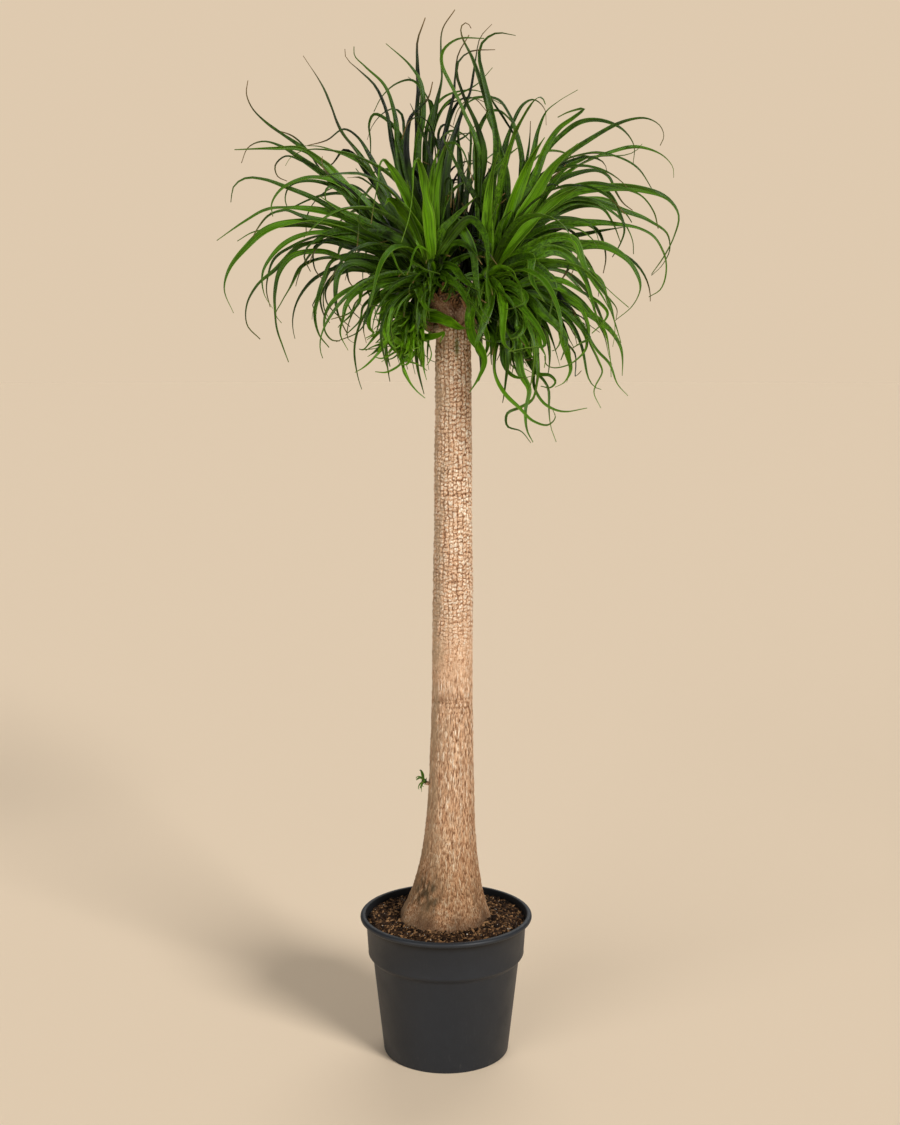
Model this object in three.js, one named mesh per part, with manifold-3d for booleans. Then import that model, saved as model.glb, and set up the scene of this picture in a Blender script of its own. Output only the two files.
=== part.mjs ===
// A ponytail palm (Beaucarnea) in a round plastic nursery pot, as a three.js scene graph.
//
// Millimetres, +Z up. The origin is the middle of the pot's base, where it stands on the floor, and the plant
// is seen from its front when looking along +Y. The pieces are the pot, the soil, the woody trunk with its
// short branches, one leafy rosette on each branch, a low side tuft and a sprout half way down the trunk.

import * as THREE from "three";
import { mergeVertices } from "three/addons/utils/BufferGeometryUtils.js";
import Module from "manifold-3d";

const wasm = await Module();
wasm.setup();

// ---------- Driving dimensions ----------

const SEAT_GAP = 0.3; // left between two pieces that rest on each other

const POT = {
  height: 254,
  facets: 40,
  wall: 2.2,
  floor: 3,
  rimRadius: 154, // outside of the rolled rim
  rimDepth: 10,
  mouthRadius: 146,
  bandTopRadius: 144, // the band under the rim, down to the shoulder
  bandBottomRadius: 140,
  shoulderTop: 184,
  shoulderBottom: 171,
  bodyTopRadius: 131,
  baseRadius: 112.5,
  footRounding: 3,
  drainHoles: 8,
  drainRadius: 6,
  drainCircle: 84,
};

const SOIL = {
  level: 245,
  mound: 2.5, // higher at the trunk than at the wall
  lump: 1.9, // height of the crumbs that cover it
  rings: 6,
};

const TRUNK = {
  top: 1322,
  soilLine: 244,
  topRadius: 30.2,
  taper: 0.0105, // radius gained for each millimetre down
  topOfTaper: 1170,
  flare: 44, // swelling of the base at the soil line
  flareReach: 88,
  lean: 12.5, // how far the stem stands to the right of the pot's middle
  leanBack: 16, // how much of that the base takes back
  leanReach: 150,
  rootDepth: 112,
  facets: 32,
  rings: 31,
  ridges: 11,
  ridgeHeight: 1.0,
  plateHeight: 0.9,
  flutes: 7,
  fluteHeight: 3.2,
};

// The stem inside each rosette: its radius on the branch, its widest radius and its length.
const CROWN = { radius: 17, belly: 20.5, length: 66 };
const TUFT_CROWN = { radius: 8, belly: 10, length: 32 };
const BUD_CROWN = { radius: 4.5, belly: 5.5, length: 11 };
const STEM_FACETS = 8;

// A blade's cross-section is a flat triangle with its keel below.
const BLADE = {
  width: 17.5,
  tip: 2,
  keel: 1.1,
  keelShare: 0.075, // extra keel depth for each millimetre of width
  steps: 60, // fine steps that the curve is summed over
  taperPower: 1.6,
  curlFrom: 0.8, // where a curled tip begins, as a share of the length
  jointsToSpot: 0.62, // straight stretches of a large leaf for each spot that it passes
  steepRise: 95, // a leaf whose first spot is this far above the rosette's foot grows from the stem's top
  lowestRoot: 0.16, // the leaves grow between these shares of the stem
  highestRoot: 0.72,
};

const GOLDEN_TURN = 0.618034;

// ---------- Repeatable chance ----------

// A number from 0 to 1 that is always the same for the same two whole numbers.
function chance(seed, draw) {
  const wave = Math.sin(seed * 12.9898 + draw * 78.233) * 43758.5453;
  return wave - Math.floor(wave);
}

const between = (low, high, share) => low + (high - low) * share;
const radians = THREE.MathUtils.degToRad;

// ---------- Solids ----------

// A closed geometry as a solid that can be joined and cut.
function solidOf(geometry) {
  const bare = geometry.index ? geometry.toNonIndexed() : geometry.clone();
  bare.deleteAttribute("normal");
  bare.deleteAttribute("uv");
  const merged = mergeVertices(bare, 1e-3);
  const triVerts = new Uint32Array(merged.index.array);
  const vertProperties = merged.attributes.position.array;
  return new wasm.Manifold(new wasm.Mesh({ numProp: 3, vertProperties, triVerts }));
}

function geometryOf(solid) {
  const mesh = solid.getMesh();
  const geometry = new THREE.BufferGeometry();
  geometry.setAttribute("position", new THREE.BufferAttribute(new Float32Array(mesh.vertProperties), 3));
  geometry.setIndex(new THREE.BufferAttribute(new Uint32Array(mesh.triVerts), 1));
  geometry.computeVertexNormals();
  return geometry;
}

// The largest body of a union: a loose scrap is dropped and a hollow that the joining sealed is filled.
function onePiece(solids) {
  const bodies = wasm.Manifold.union(solids).decompose();
  return bodies.reduce((largest, body) => (body.volume() > largest.volume() ? body : largest));
}

// A skin over rings of points, each ring anticlockwise round the way the rings advance. A ring of one point
// makes a tip.
function loft(rings) {
  const positions = rings.flat().flatMap((p) => [p.x, p.y, p.z]);
  const starts = rings.map((_, i) => rings.slice(0, i).reduce((sum, ring) => sum + ring.length, 0));
  const faces = [];
  for (let i = 0; i + 1 < rings.length; i++) {
    const [a, b] = [rings[i].length, rings[i + 1].length];
    for (let k = 0; k < Math.max(a, b); k++) {
      const [low, lowNext] = [starts[i] + (k % a), starts[i] + ((k + 1) % a)];
      const [high, highNext] = [starts[i + 1] + (k % b), starts[i + 1] + ((k + 1) % b)];
      if (a > 1) faces.push(low, lowNext, high);
      if (b > 1) faces.push(lowNext, highNext, high);
    }
  }
  for (let k = 1; k + 1 < rings[0].length; k++) faces.push(starts[0], starts[0] + k + 1, starts[0] + k);
  const last = starts.at(-1);
  for (let k = 1; k + 1 < rings.at(-1).length; k++) faces.push(last, last + k, last + k + 1);
  const geometry = new THREE.BufferGeometry();
  geometry.setAttribute("position", new THREE.Float32BufferAttribute(positions, 3));
  geometry.setIndex(faces);
  return geometry;
}

// A shape turned about the Z axis from points of [radius, height].
function turned(profile, facets) {
  const points = profile.map(([radius, height]) => new THREE.Vector2(radius, height));
  return new THREE.LatheGeometry(points, facets).rotateX(Math.PI / 2);
}

// ---------- Pot ----------

// The pot's inner wall from the floor up, as [radius, height].
function potInside() {
  const { wall, floor } = POT;
  return [
    [POT.baseRadius - wall - 2, floor],
    [POT.baseRadius - wall + 0.4, floor + 4],
    [POT.bodyTopRadius - wall, POT.shoulderBottom + 1],
    [POT.bandBottomRadius - wall, POT.shoulderTop + 1],
    [POT.bandTopRadius - wall, POT.height - POT.rimDepth],
  ];
}

function potGeometry() {
  const { height, rimRadius, rimDepth, footRounding, baseRadius } = POT;
  const outside = [
    [0, 0],
    [baseRadius - footRounding, 0],
    [baseRadius, footRounding],
    [POT.bodyTopRadius, POT.shoulderBottom],
    [POT.bandBottomRadius - 1.5, POT.shoulderTop - 3],
    [POT.bandBottomRadius, POT.shoulderTop],
    [POT.bandTopRadius, height - rimDepth],
    [rimRadius - 2.5, height - rimDepth + 0.6],
    [rimRadius, height - rimDepth * 0.65],
    [rimRadius, height - rimDepth * 0.3],
    [rimRadius - 2.5, height],
    [POT.mouthRadius, height - 0.6],
  ];
  const shell = solidOf(turned([...outside, ...potInside().reverse(), [0, POT.floor]], POT.facets));
  const holes = Array.from({ length: POT.drainHoles }, (_, i) => {
    const angle = ((i + 0.5) / POT.drainHoles) * 2 * Math.PI;
    const hole = new THREE.CylinderGeometry(POT.drainRadius, POT.drainRadius, POT.floor * 4, 8);
    hole.rotateX(Math.PI / 2);
    hole.translate(POT.drainCircle * Math.cos(angle), POT.drainCircle * Math.sin(angle), 0);
    return solidOf(hole);
  });
  return geometryOf(shell.subtract(wasm.Manifold.union(holes)));
}

// ---------- Trunk ----------

const trunkRadius = (z) =>
  TRUNK.topRadius +
  TRUNK.taper * (TRUNK.topOfTaper - z) +
  TRUNK.flare * Math.exp(-Math.max(0, z - TRUNK.soilLine) / TRUNK.flareReach);

const trunkMiddle = (z) =>
  TRUNK.lean - TRUNK.leanBack * Math.exp(-Math.max(0, z - TRUNK.soilLine) / TRUNK.leanReach);

// The root stock under the soil line, as [radius, height], from its bottom up. Its socket in the soil is the
// same shape made larger.
function rootStock(clearance) {
  const { soilLine, rootDepth } = TRUNK;
  const neck = trunkRadius(soilLine) + TRUNK.fluteHeight + clearance;
  return [
    [0, soilLine - rootDepth - clearance],
    [neck * 0.34, soilLine - rootDepth * 0.97 - clearance],
    [neck * 0.72, soilLine - rootDepth * 0.8],
    [neck * 0.93, soilLine - rootDepth * 0.52],
    [neck, soilLine - rootDepth * 0.22],
  ];
}

// Height of the bark above the trunk's mean surface: long ridges broken into corky plates, and flutes on the
// flare.
function bark(angle, z, ring) {
  const wander = 0.5 * Math.sin(z / 61) + 0.35 * Math.sin(z / 23 + 2);
  const ridges = TRUNK.ridgeHeight * Math.cos(TRUNK.ridges * angle + wander);
  const facet = Math.round((angle / (2 * Math.PI)) * TRUNK.facets) % TRUNK.facets;
  const plates = TRUNK.plateHeight * (2 * chance(facet, ring) - 1);
  const flared = Math.exp(-Math.max(0, z - TRUNK.soilLine) / (TRUNK.flareReach * 0.8));
  const flutes = TRUNK.fluteHeight * Math.cos(TRUNK.flutes * angle + 1.1 * Math.sin(2 * angle));
  return ridges + plates + flared * (flutes - TRUNK.fluteHeight * 0.4);
}

// A level ring of points round the trunk's middle line.
function trunkRing(z, radiusAt) {
  return Array.from({ length: TRUNK.facets }, (_, k) => {
    const angle = (k / TRUNK.facets) * 2 * Math.PI;
    const radius = radiusAt(angle);
    return new THREE.Vector3(trunkMiddle(z) + radius * Math.cos(angle), radius * Math.sin(angle), z);
  });
}

function trunkGeometry() {
  const [tip, ...buried] = rootStock(0);
  const rings = [[new THREE.Vector3(trunkMiddle(0), 0, tip[1])]];
  for (const [radius, z] of buried) rings.push(trunkRing(z, () => radius));
  for (let i = 0; i <= TRUNK.rings; i++) {
    // The rings stand closer together on the flare.
    const z = between(TRUNK.soilLine, TRUNK.top, (i / TRUNK.rings) ** 1.25);
    rings.push(trunkRing(z, (angle) => trunkRadius(z) + bark(angle, z, i)));
  }
  rings.push(trunkRing(TRUNK.top + 10, () => TRUNK.topRadius * 0.72));
  rings.push([new THREE.Vector3(TRUNK.lean, 0, TRUNK.top + 15)]);
  const branches = ROSETTES.map((rosette) => solidOf(branchGeometry(rosette)));
  return geometryOf(onePiece([solidOf(loft(rings)), ...branches]));
}

// ---------- Soil ----------

// Crumbs of soil, as a height that changes over the surface.
function crumbs(x, y) {
  const coarse = Math.sin(x / 7.3 + 1.7 * Math.sin(y / 11)) * Math.sin(y / 6.1 + 1.3 * Math.sin(x / 9));
  const fine = Math.sin(x / 3.1 + y / 4.7) * Math.sin(y / 2.9 - x / 5.3);
  return SOIL.lump * (0.7 * coarse + 0.5 * fine);
}

function soilGeometry() {
  const wallPoints = potInside().map(([radius, height]) => [radius - SEAT_GAP, height + SEAT_GAP]);
  wallPoints.pop();
  const edge = between(POT.bandBottomRadius, POT.bandTopRadius, 0.92) - POT.wall - SEAT_GAP * 2;
  const surface = Array.from({ length: SOIL.rings }, (_, i) => {
    const inward = i / SOIL.rings;
    return [edge * (1 - inward), SOIL.level + SOIL.mound * inward];
  });
  const centre = [0, SOIL.level + SOIL.mound];
  const profile = [[0, POT.floor + SEAT_GAP], ...wallPoints, [edge, SOIL.level - 6], ...surface, centre];
  const geometry = turned(profile, POT.facets);
  const at = geometry.attributes.position;
  for (let i = 0; i < at.count; i++) {
    if (at.getZ(i) >= SOIL.level) at.setZ(i, at.getZ(i) + crumbs(at.getX(i), at.getY(i)));
  }
  const socket = [...rootStock(SEAT_GAP + 0.2), [rootStock(SEAT_GAP + 0.2).at(-1)[0], SOIL.level + 20]];
  const cutter = turned([...socket, [0, SOIL.level + 20]], TRUNK.facets).translate(trunkMiddle(0), 0, 0);
  return geometryOf(solidOf(geometry).subtract(solidOf(cutter)));
}

// ---------- Leaves ----------

// Where the large leaves are looked at from, as in the front view that they are traced in.
const EYE = new THREE.Vector3(7, -2701, 1256);

// A large leaf says how it looks from the front:
//   near   where its tip is, before the trunk below zero and behind it above zero
//   width  of its blade
//   turn   how far the blade is turned away from the front at its root and at its tip
//   spots  (x, z) of its midrib from the root to the tip, each as it looks on the plane through the trunk
const seen = (near, width, turn, ...spots) => ({ near, width, turn, spots });

// A leaf by rule says how it leaves its rosette and how it bends on the way:
//   azimuth  the way it points, anticlockwise from +X as seen from above
//   length   along the curve
//   slopes   above the horizon, at even steps from the root to the tip
//   curl     how much further the tip turns up, or down where it is below zero
//   sway     how far its azimuth turns by the tip
//   twist    how far the blade has rolled over by the tip
//   start    how far up the rosette's stem it grows, as a share
//   joints   straight stretches that follow the curve

function slopeAt({ slopes, curl }, t) {
  const place = Math.min(t, 0.9999) * (slopes.length - 1);
  const before = Math.floor(place);
  const tipShare = Math.max(0, t - BLADE.curlFrom) / (1 - BLADE.curlFrom);
  return radians(between(slopes[before], slopes[before + 1], place - before) + curl * tipShare ** 2);
}

// Full width from a quarter of the length, drawn out to a tip as fine as a stalk of grass.
function widthAt(blade, t) {
  const taper = (1 - t ** 2) ** BLADE.taperPower;
  return between(BLADE.tip, blade.width, Math.min(1, 0.5 + 2 * t) * taper);
}

// The blade's stations from root to tip: each has a point on the midrib, the way across and the way up.
function tracedStations({ near, turn, spots }, root) {
  const points = spots.map(([x, z], i) => {
    const depth = between(root.y, near, (i + 1) / spots.length);
    return new THREE.Vector3(x, 0, z).sub(EYE).multiplyScalar((depth - EYE.y) / -EYE.y).add(EYE);
  });
  const curve = new THREE.CatmullRomCurve3([root, ...points], false, "centripetal");
  const side = spots.at(-1)[0] < root.x ? 1 : -1;
  const joints = Math.ceil(spots.length * BLADE.jointsToSpot);
  return Array.from({ length: joints + 1 }, (_, i) => {
    const t = i / joints;
    const forward = curve.getTangentAt(t);
    const across = new THREE.Vector3(0, 1, 0).cross(forward).normalize();
    across.applyAxisAngle(forward, side * radians(between(...turn, t)));
    return { t, point: curve.getPointAt(t), across, up: across.clone().cross(forward) };
  });
}

function grownStations(blade, root) {
  const joints = blade.joints + (blade.curl ? 1 : 0);
  const due = Array.from({ length: joints + 1 }, (_, i) => Math.round((i / joints) * BLADE.steps));
  const point = root.clone();
  const stations = [];
  for (let i = 0; i <= BLADE.steps; i++) {
    const t = i / BLADE.steps;
    const slope = slopeAt(blade, t);
    const heading = radians(blade.azimuth + blade.sway * t * t);
    const level = new THREE.Vector3(Math.cos(heading), Math.sin(heading), 0);
    const forward = level.multiplyScalar(Math.cos(slope)).setZ(Math.sin(slope));
    if (due.includes(i)) {
      const across = new THREE.Vector3(Math.sin(heading), -Math.cos(heading), 0);
      across.applyAxisAngle(forward, radians(blade.twist * (0.3 + 0.7 * t)));
      stations.push({ t, point: point.clone(), across, up: across.clone().cross(forward) });
    }
    point.addScaledVector(forward, blade.length / BLADE.steps);
  }
  return stations;
}

function bladeGeometry(blade, root) {
  const stations = blade.spots ? tracedStations(blade, root) : grownStations(blade, root);
  const rings = stations.map(({ t, point, across, up }) => {
    if (t === 1) return [point];
    const width = widthAt(blade, t);
    const half = across.clone().multiplyScalar(width / 2);
    const keel = up.clone().multiplyScalar(-(BLADE.keel + BLADE.keelShare * width));
    return [point.clone().add(half), point.clone().add(keel), point.clone().sub(half)];
  });
  return loft(rings);
}

// ---------- Rosettes ----------

// A rosette stands on a branch of the trunk:
//   fork           height at which its branch leaves the trunk's middle line
//   azimuth, out   where the foot of its stem is, round the trunk's middle line
//   height         of that foot
//   splay          how far its stem leans outward for each millimetre up
//   sector         azimuths that the leaves grown by rule keep to
//   grown          how many leaves are grown by rule, from the youngest to the oldest
//   reach          length of the youngest and of the oldest
//   rise           slope at the root of the youngest and of the oldest
// Its large leaves are written out one by one: the steeper one leaves the stem, the higher up it grows.
const ROSETTES = [
  {
    name: "left_rosette",
    crown: CROWN,
    fork: 1288,
    azimuth: 160,
    out: 46,
    height: 1348,
    splay: 0.55,
    sector: [112, 176],
    grown: 11,
    reach: [380, 210],
    rise: [80, -14],
    seed: 11,
    traced: [
      seen(40, 17, [60, 20],
        [-80, 1425], [-140, 1487], [-190, 1550], [-250, 1600], [-300, 1634], [-325, 1659], [-334, 1682],
        [-331, 1703],
      ),
      seen(30, 19, [20, 125],
        [-72, 1445], [-108, 1525], [-148, 1588], [-176, 1624], [-190, 1660], [-208, 1698], [-238, 1743],
      ),
      seen(10, 16, [55, 30],
        [-75, 1415], [-130, 1475], [-190, 1537], [-240, 1573], [-275, 1595], [-308, 1604], [-333, 1594],
        [-345, 1568],
      ),
      seen(-10, 19, [40, 0],
        [-70, 1418], [-120, 1475], [-165, 1528], [-205, 1567], [-245, 1591], [-290, 1592], [-356, 1590],
      ),
      seen(50, 10, [40, 40],
        [-85, 1435], [-150, 1503], [-205, 1550], [-233, 1590], [-257, 1612], [-288, 1623],
      ),
      seen(55, 13, [50, 30],
        [-62, 1440], [-98, 1520], [-128, 1580], [-150, 1613], [-172, 1624], [-200, 1606], [-233, 1597],
      ),
      seen(25, 17, [30, 80],
        [-68, 1440], [-105, 1525], [-140, 1566], [-165, 1580], [-192, 1590], [-215, 1596], [-242, 1597],
      ),
      seen(35, 16, [50, 40],
        [-80, 1425], [-150, 1503], [-200, 1547], [-240, 1571], [-270, 1580], [-288, 1564], [-284, 1546],
        [-268, 1538],
      ),
      seen(-15, 18, [50, 30],
        [-72, 1412], [-120, 1488], [-165, 1528], [-210, 1545], [-250, 1541], [-280, 1524], [-295, 1500],
        [-293, 1480],
      ),
      seen(20, 14, [50, 40],
        [-75, 1410], [-135, 1495], [-188, 1530], [-235, 1539], [-264, 1530], [-272, 1510], [-267, 1490],
      ),
      seen(40, 13, [60, 30],
        [-65, 1420], [-112, 1498], [-160, 1532], [-195, 1527], [-222, 1505], [-236, 1478], [-237, 1453],
      ),
      seen(5, 17, [50, 40],
        [-82, 1420], [-140, 1467], [-200, 1488], [-260, 1495], [-300, 1493], [-335, 1476], [-389, 1440],
      ),
      seen(-20, 18, [40, 20],
        [-80, 1408], [-130, 1448], [-190, 1468], [-240, 1480], [-273, 1491], [-300, 1482], [-318, 1462],
        [-328, 1445],
      ),
      seen(-30, 21, [30, 60],
        [-75, 1402], [-130, 1450], [-190, 1469], [-245, 1474], [-303, 1459], [-340, 1428], [-369, 1392],
        [-378, 1357], [-363, 1318],
      ),
      seen(15, 13, [50, 40],
        [-72, 1398], [-130, 1440], [-200, 1460], [-255, 1466], [-305, 1459], [-330, 1453], [-354, 1439],
      ),
      seen(-40, 18, [30, 50],
        [-70, 1390], [-125, 1430], [-185, 1451], [-235, 1452], [-270, 1438], [-298, 1412], [-312, 1385],
        [-310, 1350], [-296, 1326],
      ),
      seen(20, 17, [50, 50],
        [-68, 1388], [-120, 1421], [-170, 1443], [-220, 1448], [-262, 1430], [-292, 1410], [-303, 1380],
        [-306, 1355], [-300, 1328],
      ),
      seen(-25, 19, [40, 50],
        [-72, 1372], [-112, 1388], [-160, 1406], [-215, 1423], [-260, 1415], [-284, 1388], [-292, 1350],
        [-291, 1300], [-280, 1263], [-270, 1235],
      ),
      seen(35, 18, [40, 70],
        [-70, 1370], [-120, 1395], [-175, 1412], [-215, 1411], [-245, 1397], [-262, 1370], [-282, 1335],
        [-291, 1316], [-281, 1301],
      ),
      seen(0, 16, [50, 50],
        [-72, 1385], [-130, 1425], [-200, 1440], [-250, 1430], [-290, 1392], [-322, 1366], [-340, 1334],
        [-340, 1298], [-318, 1274],
      ),
      seen(45, 9, [30, 40],
        [-75, 1378], [-120, 1388], [-165, 1391], [-190, 1379], [-205, 1358], [-203, 1335], [-180, 1309],
        [-164, 1295],
      ),
      seen(25, 15, [50, 20],
        [-68, 1378], [-110, 1404], [-165, 1415], [-195, 1406], [-208, 1378], [-218, 1346], [-224, 1315],
        [-217, 1282], [-200, 1260],
      ),
      seen(30, 10, [50, 20],
        [-70, 1392], [-115, 1420], [-165, 1431], [-205, 1437], [-223, 1430], [-226, 1410], [-222, 1390],
        [-210, 1375],
      ),
      seen(60, 18, [20, 50],
        [-55, 1450], [-68, 1530], [-80, 1600], [-88, 1660], [-104, 1697], [-135, 1726], [-152, 1743],
        [-153, 1758],
      ),
      seen(80, 13, [30, 30],
        [-50, 1450], [-62, 1560], [-78, 1615], [-103, 1642], [-121, 1648], [-129, 1632], [-127, 1605],
        [-127, 1578],
      ),
    ],
  },
  {
    name: "front_left_rosette",
    crown: CROWN,
    fork: 1288,
    azimuth: 232,
    out: 44,
    height: 1350,
    splay: 0.5,
    sector: [196, 250],
    grown: 9,
    reach: [360, 190],
    rise: [86, -24],
    seed: 29,
    traced: [
      seen(-140, 21, [5, 80],
        [-32, 1430], [-52, 1500], [-80, 1550], [-99, 1573], [-109, 1566], [-114, 1540], [-122, 1500],
        [-127, 1468],
      ),
      seen(-170, 20, [5, 80],
        [-26, 1430], [-31, 1495], [-39, 1547], [-49, 1572], [-55, 1560], [-57, 1520], [-63, 1478],
        [-76, 1437],
      ),
      seen(-120, 19, [10, 20], [-26, 1440], [-29, 1500], [-25, 1560], [-17, 1585]),
      seen(-90, 19, [5, 40],
        [-24, 1440], [-21, 1510], [-13, 1568], [-2, 1597], [12, 1602], [27, 1591], [37, 1568],
        [46, 1538],
      ),
      seen(-150, 21, [10, 40],
        [-38, 1450], [-62, 1500], [-80, 1506], [-95, 1490], [-101, 1462], [-104, 1440],
      ),
      seen(-110, 16, [20, 30], [-18, 1420], [-8, 1455], [14, 1478], [38, 1500], [50, 1512]),
      seen(-160, 19, [10, 20],
        [-8, 1430], [12, 1470], [30, 1454], [46, 1420], [50, 1388], [55, 1355], [62, 1325], [78, 1303],
      ),
      seen(-230, 15, [20, 30], [5, 1440], [40, 1475], [66, 1450], [72, 1405], [70, 1365], [74, 1330]),
      seen(-60, 15, [20, 20], [-15, 1440], [-5, 1495], [11, 1522], [24, 1533], [42, 1542]),
      seen(-80, 18, [30, 30],
        [-45, 1372], [-100, 1372], [-148, 1366], [-184, 1347], [-207, 1317], [-208, 1290], [-196, 1273],
        [-182, 1271],
      ),
      seen(-110, 16, [30, 60],
        [-45, 1368], [-98, 1368], [-145, 1358], [-168, 1337], [-176, 1310], [-181, 1283], [-168, 1255],
      ),
      seen(-60, 15, [40, 50],
        [-42, 1362], [-85, 1360], [-120, 1348], [-142, 1330], [-149, 1305], [-172, 1281],
      ),
      seen(-140, 8, [20, 20],
        [-45, 1380], [-105, 1378], [-143, 1357], [-148, 1336], [-165, 1318], [-196, 1308],
      ),
      seen(-100, 19, [0, 20], [-38, 1392], [-50, 1378], [-46, 1355], [-40, 1338], [-31, 1325], [-15, 1323]),
      seen(-70, 19, [30, 10], [-60, 1425], [-100, 1455], [-140, 1474], [-180, 1492], [-215, 1515]),
      seen(-180, 7, [20, 20], [-60, 1425], [-93, 1430], [-88, 1410], [-80, 1392], [-70, 1382]),
      seen(-200, 7, [20, 20], [-30, 1420], [-46, 1430], [-56, 1417], [-61, 1395], [-66, 1383]),
      seen(-130, 15, [20, 20], [-8, 1410], [6, 1432], [24, 1436], [44, 1424], [62, 1400]),
      seen(-150, 15, [10, 20], [-6, 1398], [12, 1396], [28, 1376], [48, 1362], [66, 1352]),
      seen(-100, 16, [10, 20], [0, 1392], [22, 1408], [42, 1416], [66, 1412]),
      seen(-170, 15, [10, 30], [-12, 1385], [2, 1378], [22, 1362], [34, 1340], [40, 1320]),
    ],
  },
  {
    name: "front_right_rosette",
    crown: CROWN,
    fork: 1288,
    azimuth: 322,
    out: 60,
    height: 1348,
    splay: 0.5,
    sector: [292, 345],
    grown: 9,
    reach: [380, 230],
    rise: [88, -40],
    seed: 47,
    traced: [
      seen(-20, 17, [20, 20], [58, 1412], [44, 1440], [22, 1455], [0, 1448]),
      seen(-90, 21, [5, 50],
        [92, 1425], [116, 1475], [150, 1545], [170, 1595], [190, 1625], [215, 1643], [232, 1657],
        [207, 1652], [188, 1643],
      ),
      seen(-110, 20, [0, 20], [90, 1430], [108, 1480], [127, 1533], [141, 1566], [153, 1590], [166, 1610]),
      seen(-130, 22, [10, 20],
        [100, 1430], [142, 1500], [182, 1563], [240, 1606], [300, 1637], [335, 1642], [360, 1630],
        [367, 1612], [361, 1597],
      ),
      seen(-70, 21, [15, 40],
        [100, 1420], [140, 1467], [190, 1516], [240, 1533], [290, 1529], [330, 1515], [352, 1488],
        [360, 1460],
      ),
      seen(-160, 18, [20, 40],
        [105, 1410], [150, 1475], [210, 1518], [270, 1528], [330, 1525], [375, 1510], [395, 1482],
        [388, 1448], [372, 1415], [350, 1383],
      ),
      seen(-110, 20, [30, 30],
        [108, 1408], [150, 1432], [190, 1446], [218, 1440], [234, 1402], [250, 1372], [268, 1345],
        [283, 1318],
      ),
      seen(-150, 21, [30, 20],
        [112, 1385], [140, 1408], [176, 1424], [205, 1416], [228, 1392], [243, 1362], [252, 1330],
        [262, 1300],
      ),
      seen(-90, 18, [30, 40],
        [110, 1375], [145, 1392], [185, 1402], [222, 1395], [250, 1376], [272, 1350], [292, 1325],
        [291, 1308],
      ),
      seen(-60, 16, [40, 40],
        [108, 1372], [150, 1395], [200, 1400], [240, 1388], [264, 1372], [276, 1340], [286, 1312],
        [300, 1268],
      ),
      seen(-190, 12, [30, 50],
        [110, 1362], [150, 1378], [195, 1374], [228, 1357], [262, 1336], [276, 1319], [270, 1304],
        [250, 1284],
      ),
      seen(-130, 19, [20, 20],
        [108, 1355], [150, 1368], [190, 1358], [220, 1335], [248, 1315], [280, 1291], [298, 1264],
        [303, 1240], [303, 1212],
      ),
      seen(-170, 18, [20, 50],
        [105, 1352], [145, 1362], [190, 1348], [228, 1330], [243, 1300], [247, 1273], [262, 1240],
        [270, 1219], [258, 1196], [255, 1182], [267, 1157],
      ),
      seen(-100, 15, [40, 50],
        [105, 1350], [150, 1356], [200, 1335], [232, 1300], [259, 1256], [281, 1232], [295, 1198],
        [313, 1178],
      ),
      seen(-200, 15, [30, 40],
        [108, 1360], [160, 1372], [215, 1350], [252, 1315], [274, 1282], [281, 1250], [284, 1210],
      ),
      seen(-150, 21, [15, 50],
        [100, 1348], [140, 1350], [175, 1325], [195, 1295], [202, 1268], [209, 1246], [214, 1222],
        [204, 1201], [188, 1192],
      ),
      seen(-210, 9, [30, 30],
        [105, 1345], [160, 1345], [215, 1310], [240, 1278], [240, 1257], [218, 1234], [188, 1225],
        [172, 1231], [169, 1245],
      ),
      seen(-180, 19, [10, 60],
        [88, 1365], [100, 1345], [97, 1300], [86, 1260], [86, 1215], [100, 1184], [127, 1157],
        [150, 1135], [175, 1128], [188, 1140], [183, 1155],
      ),
      seen(-140, 18, [20, 30],
        [95, 1358], [120, 1340], [128, 1300], [123, 1260], [130, 1215], [143, 1188], [137, 1150],
        [140, 1118], [150, 1098],
      ),
      seen(-120, 18, [20, 50],
        [98, 1355], [135, 1335], [150, 1295], [154, 1255], [158, 1210], [150, 1172], [128, 1158],
        [106, 1147], [106, 1126], [130, 1117], [147, 1097],
      ),
      seen(-100, 15, [30, 40],
        [100, 1350], [140, 1325], [158, 1280], [152, 1235], [152, 1195], [167, 1167], [186, 1155],
        [207, 1151], [243, 1157],
      ),
      seen(-90, 16, [20, 30],
        [98, 1348], [125, 1320], [132, 1275], [138, 1240], [158, 1216], [178, 1213], [188, 1202],
        [180, 1192], [163, 1194],
      ),
      seen(-80, 15, [20, 40], [105, 1345], [145, 1335], [170, 1300], [184, 1268], [196, 1229]),
      seen(-160, 14, [20, 40],
        [100, 1345], [135, 1325], [155, 1290], [163, 1262], [171, 1245], [169, 1226],
      ),
      seen(-170, 19, [5, 10], [72, 1378], [90, 1360], [98, 1330], [97, 1295], [100, 1266], [116, 1252]),
      seen(-215, 19, [10, 20],
        [50, 1345], [40, 1310], [45, 1278], [60, 1256], [66, 1235], [57, 1210], [41, 1184],
      ),
      seen(-170, 16, [10, 30], [58, 1350], [60, 1310], [72, 1270], [64, 1240], [62, 1215]),
      seen(-120, 7, [20, 20], [110, 1400], [170, 1430], [215, 1425], [245, 1395], [275, 1360], [312, 1328]),
      seen(-180, 15, [30, 40],
        [105, 1350], [150, 1350], [200, 1325], [235, 1290], [246, 1276], [232, 1268], [214, 1257],
      ),
      seen(-60, 14, [20, 40], [90, 1350], [108, 1320], [112, 1280], [118, 1245], [113, 1212]),
      seen(-60, 15, [20, 40],
        [60, 1450], [55, 1530], [52, 1600], [30, 1655], [8, 1698], [-7, 1732], [-4, 1752], [20, 1770],
        [64, 1771],
      ),
      seen(-75, 16, [20, 40],
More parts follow.
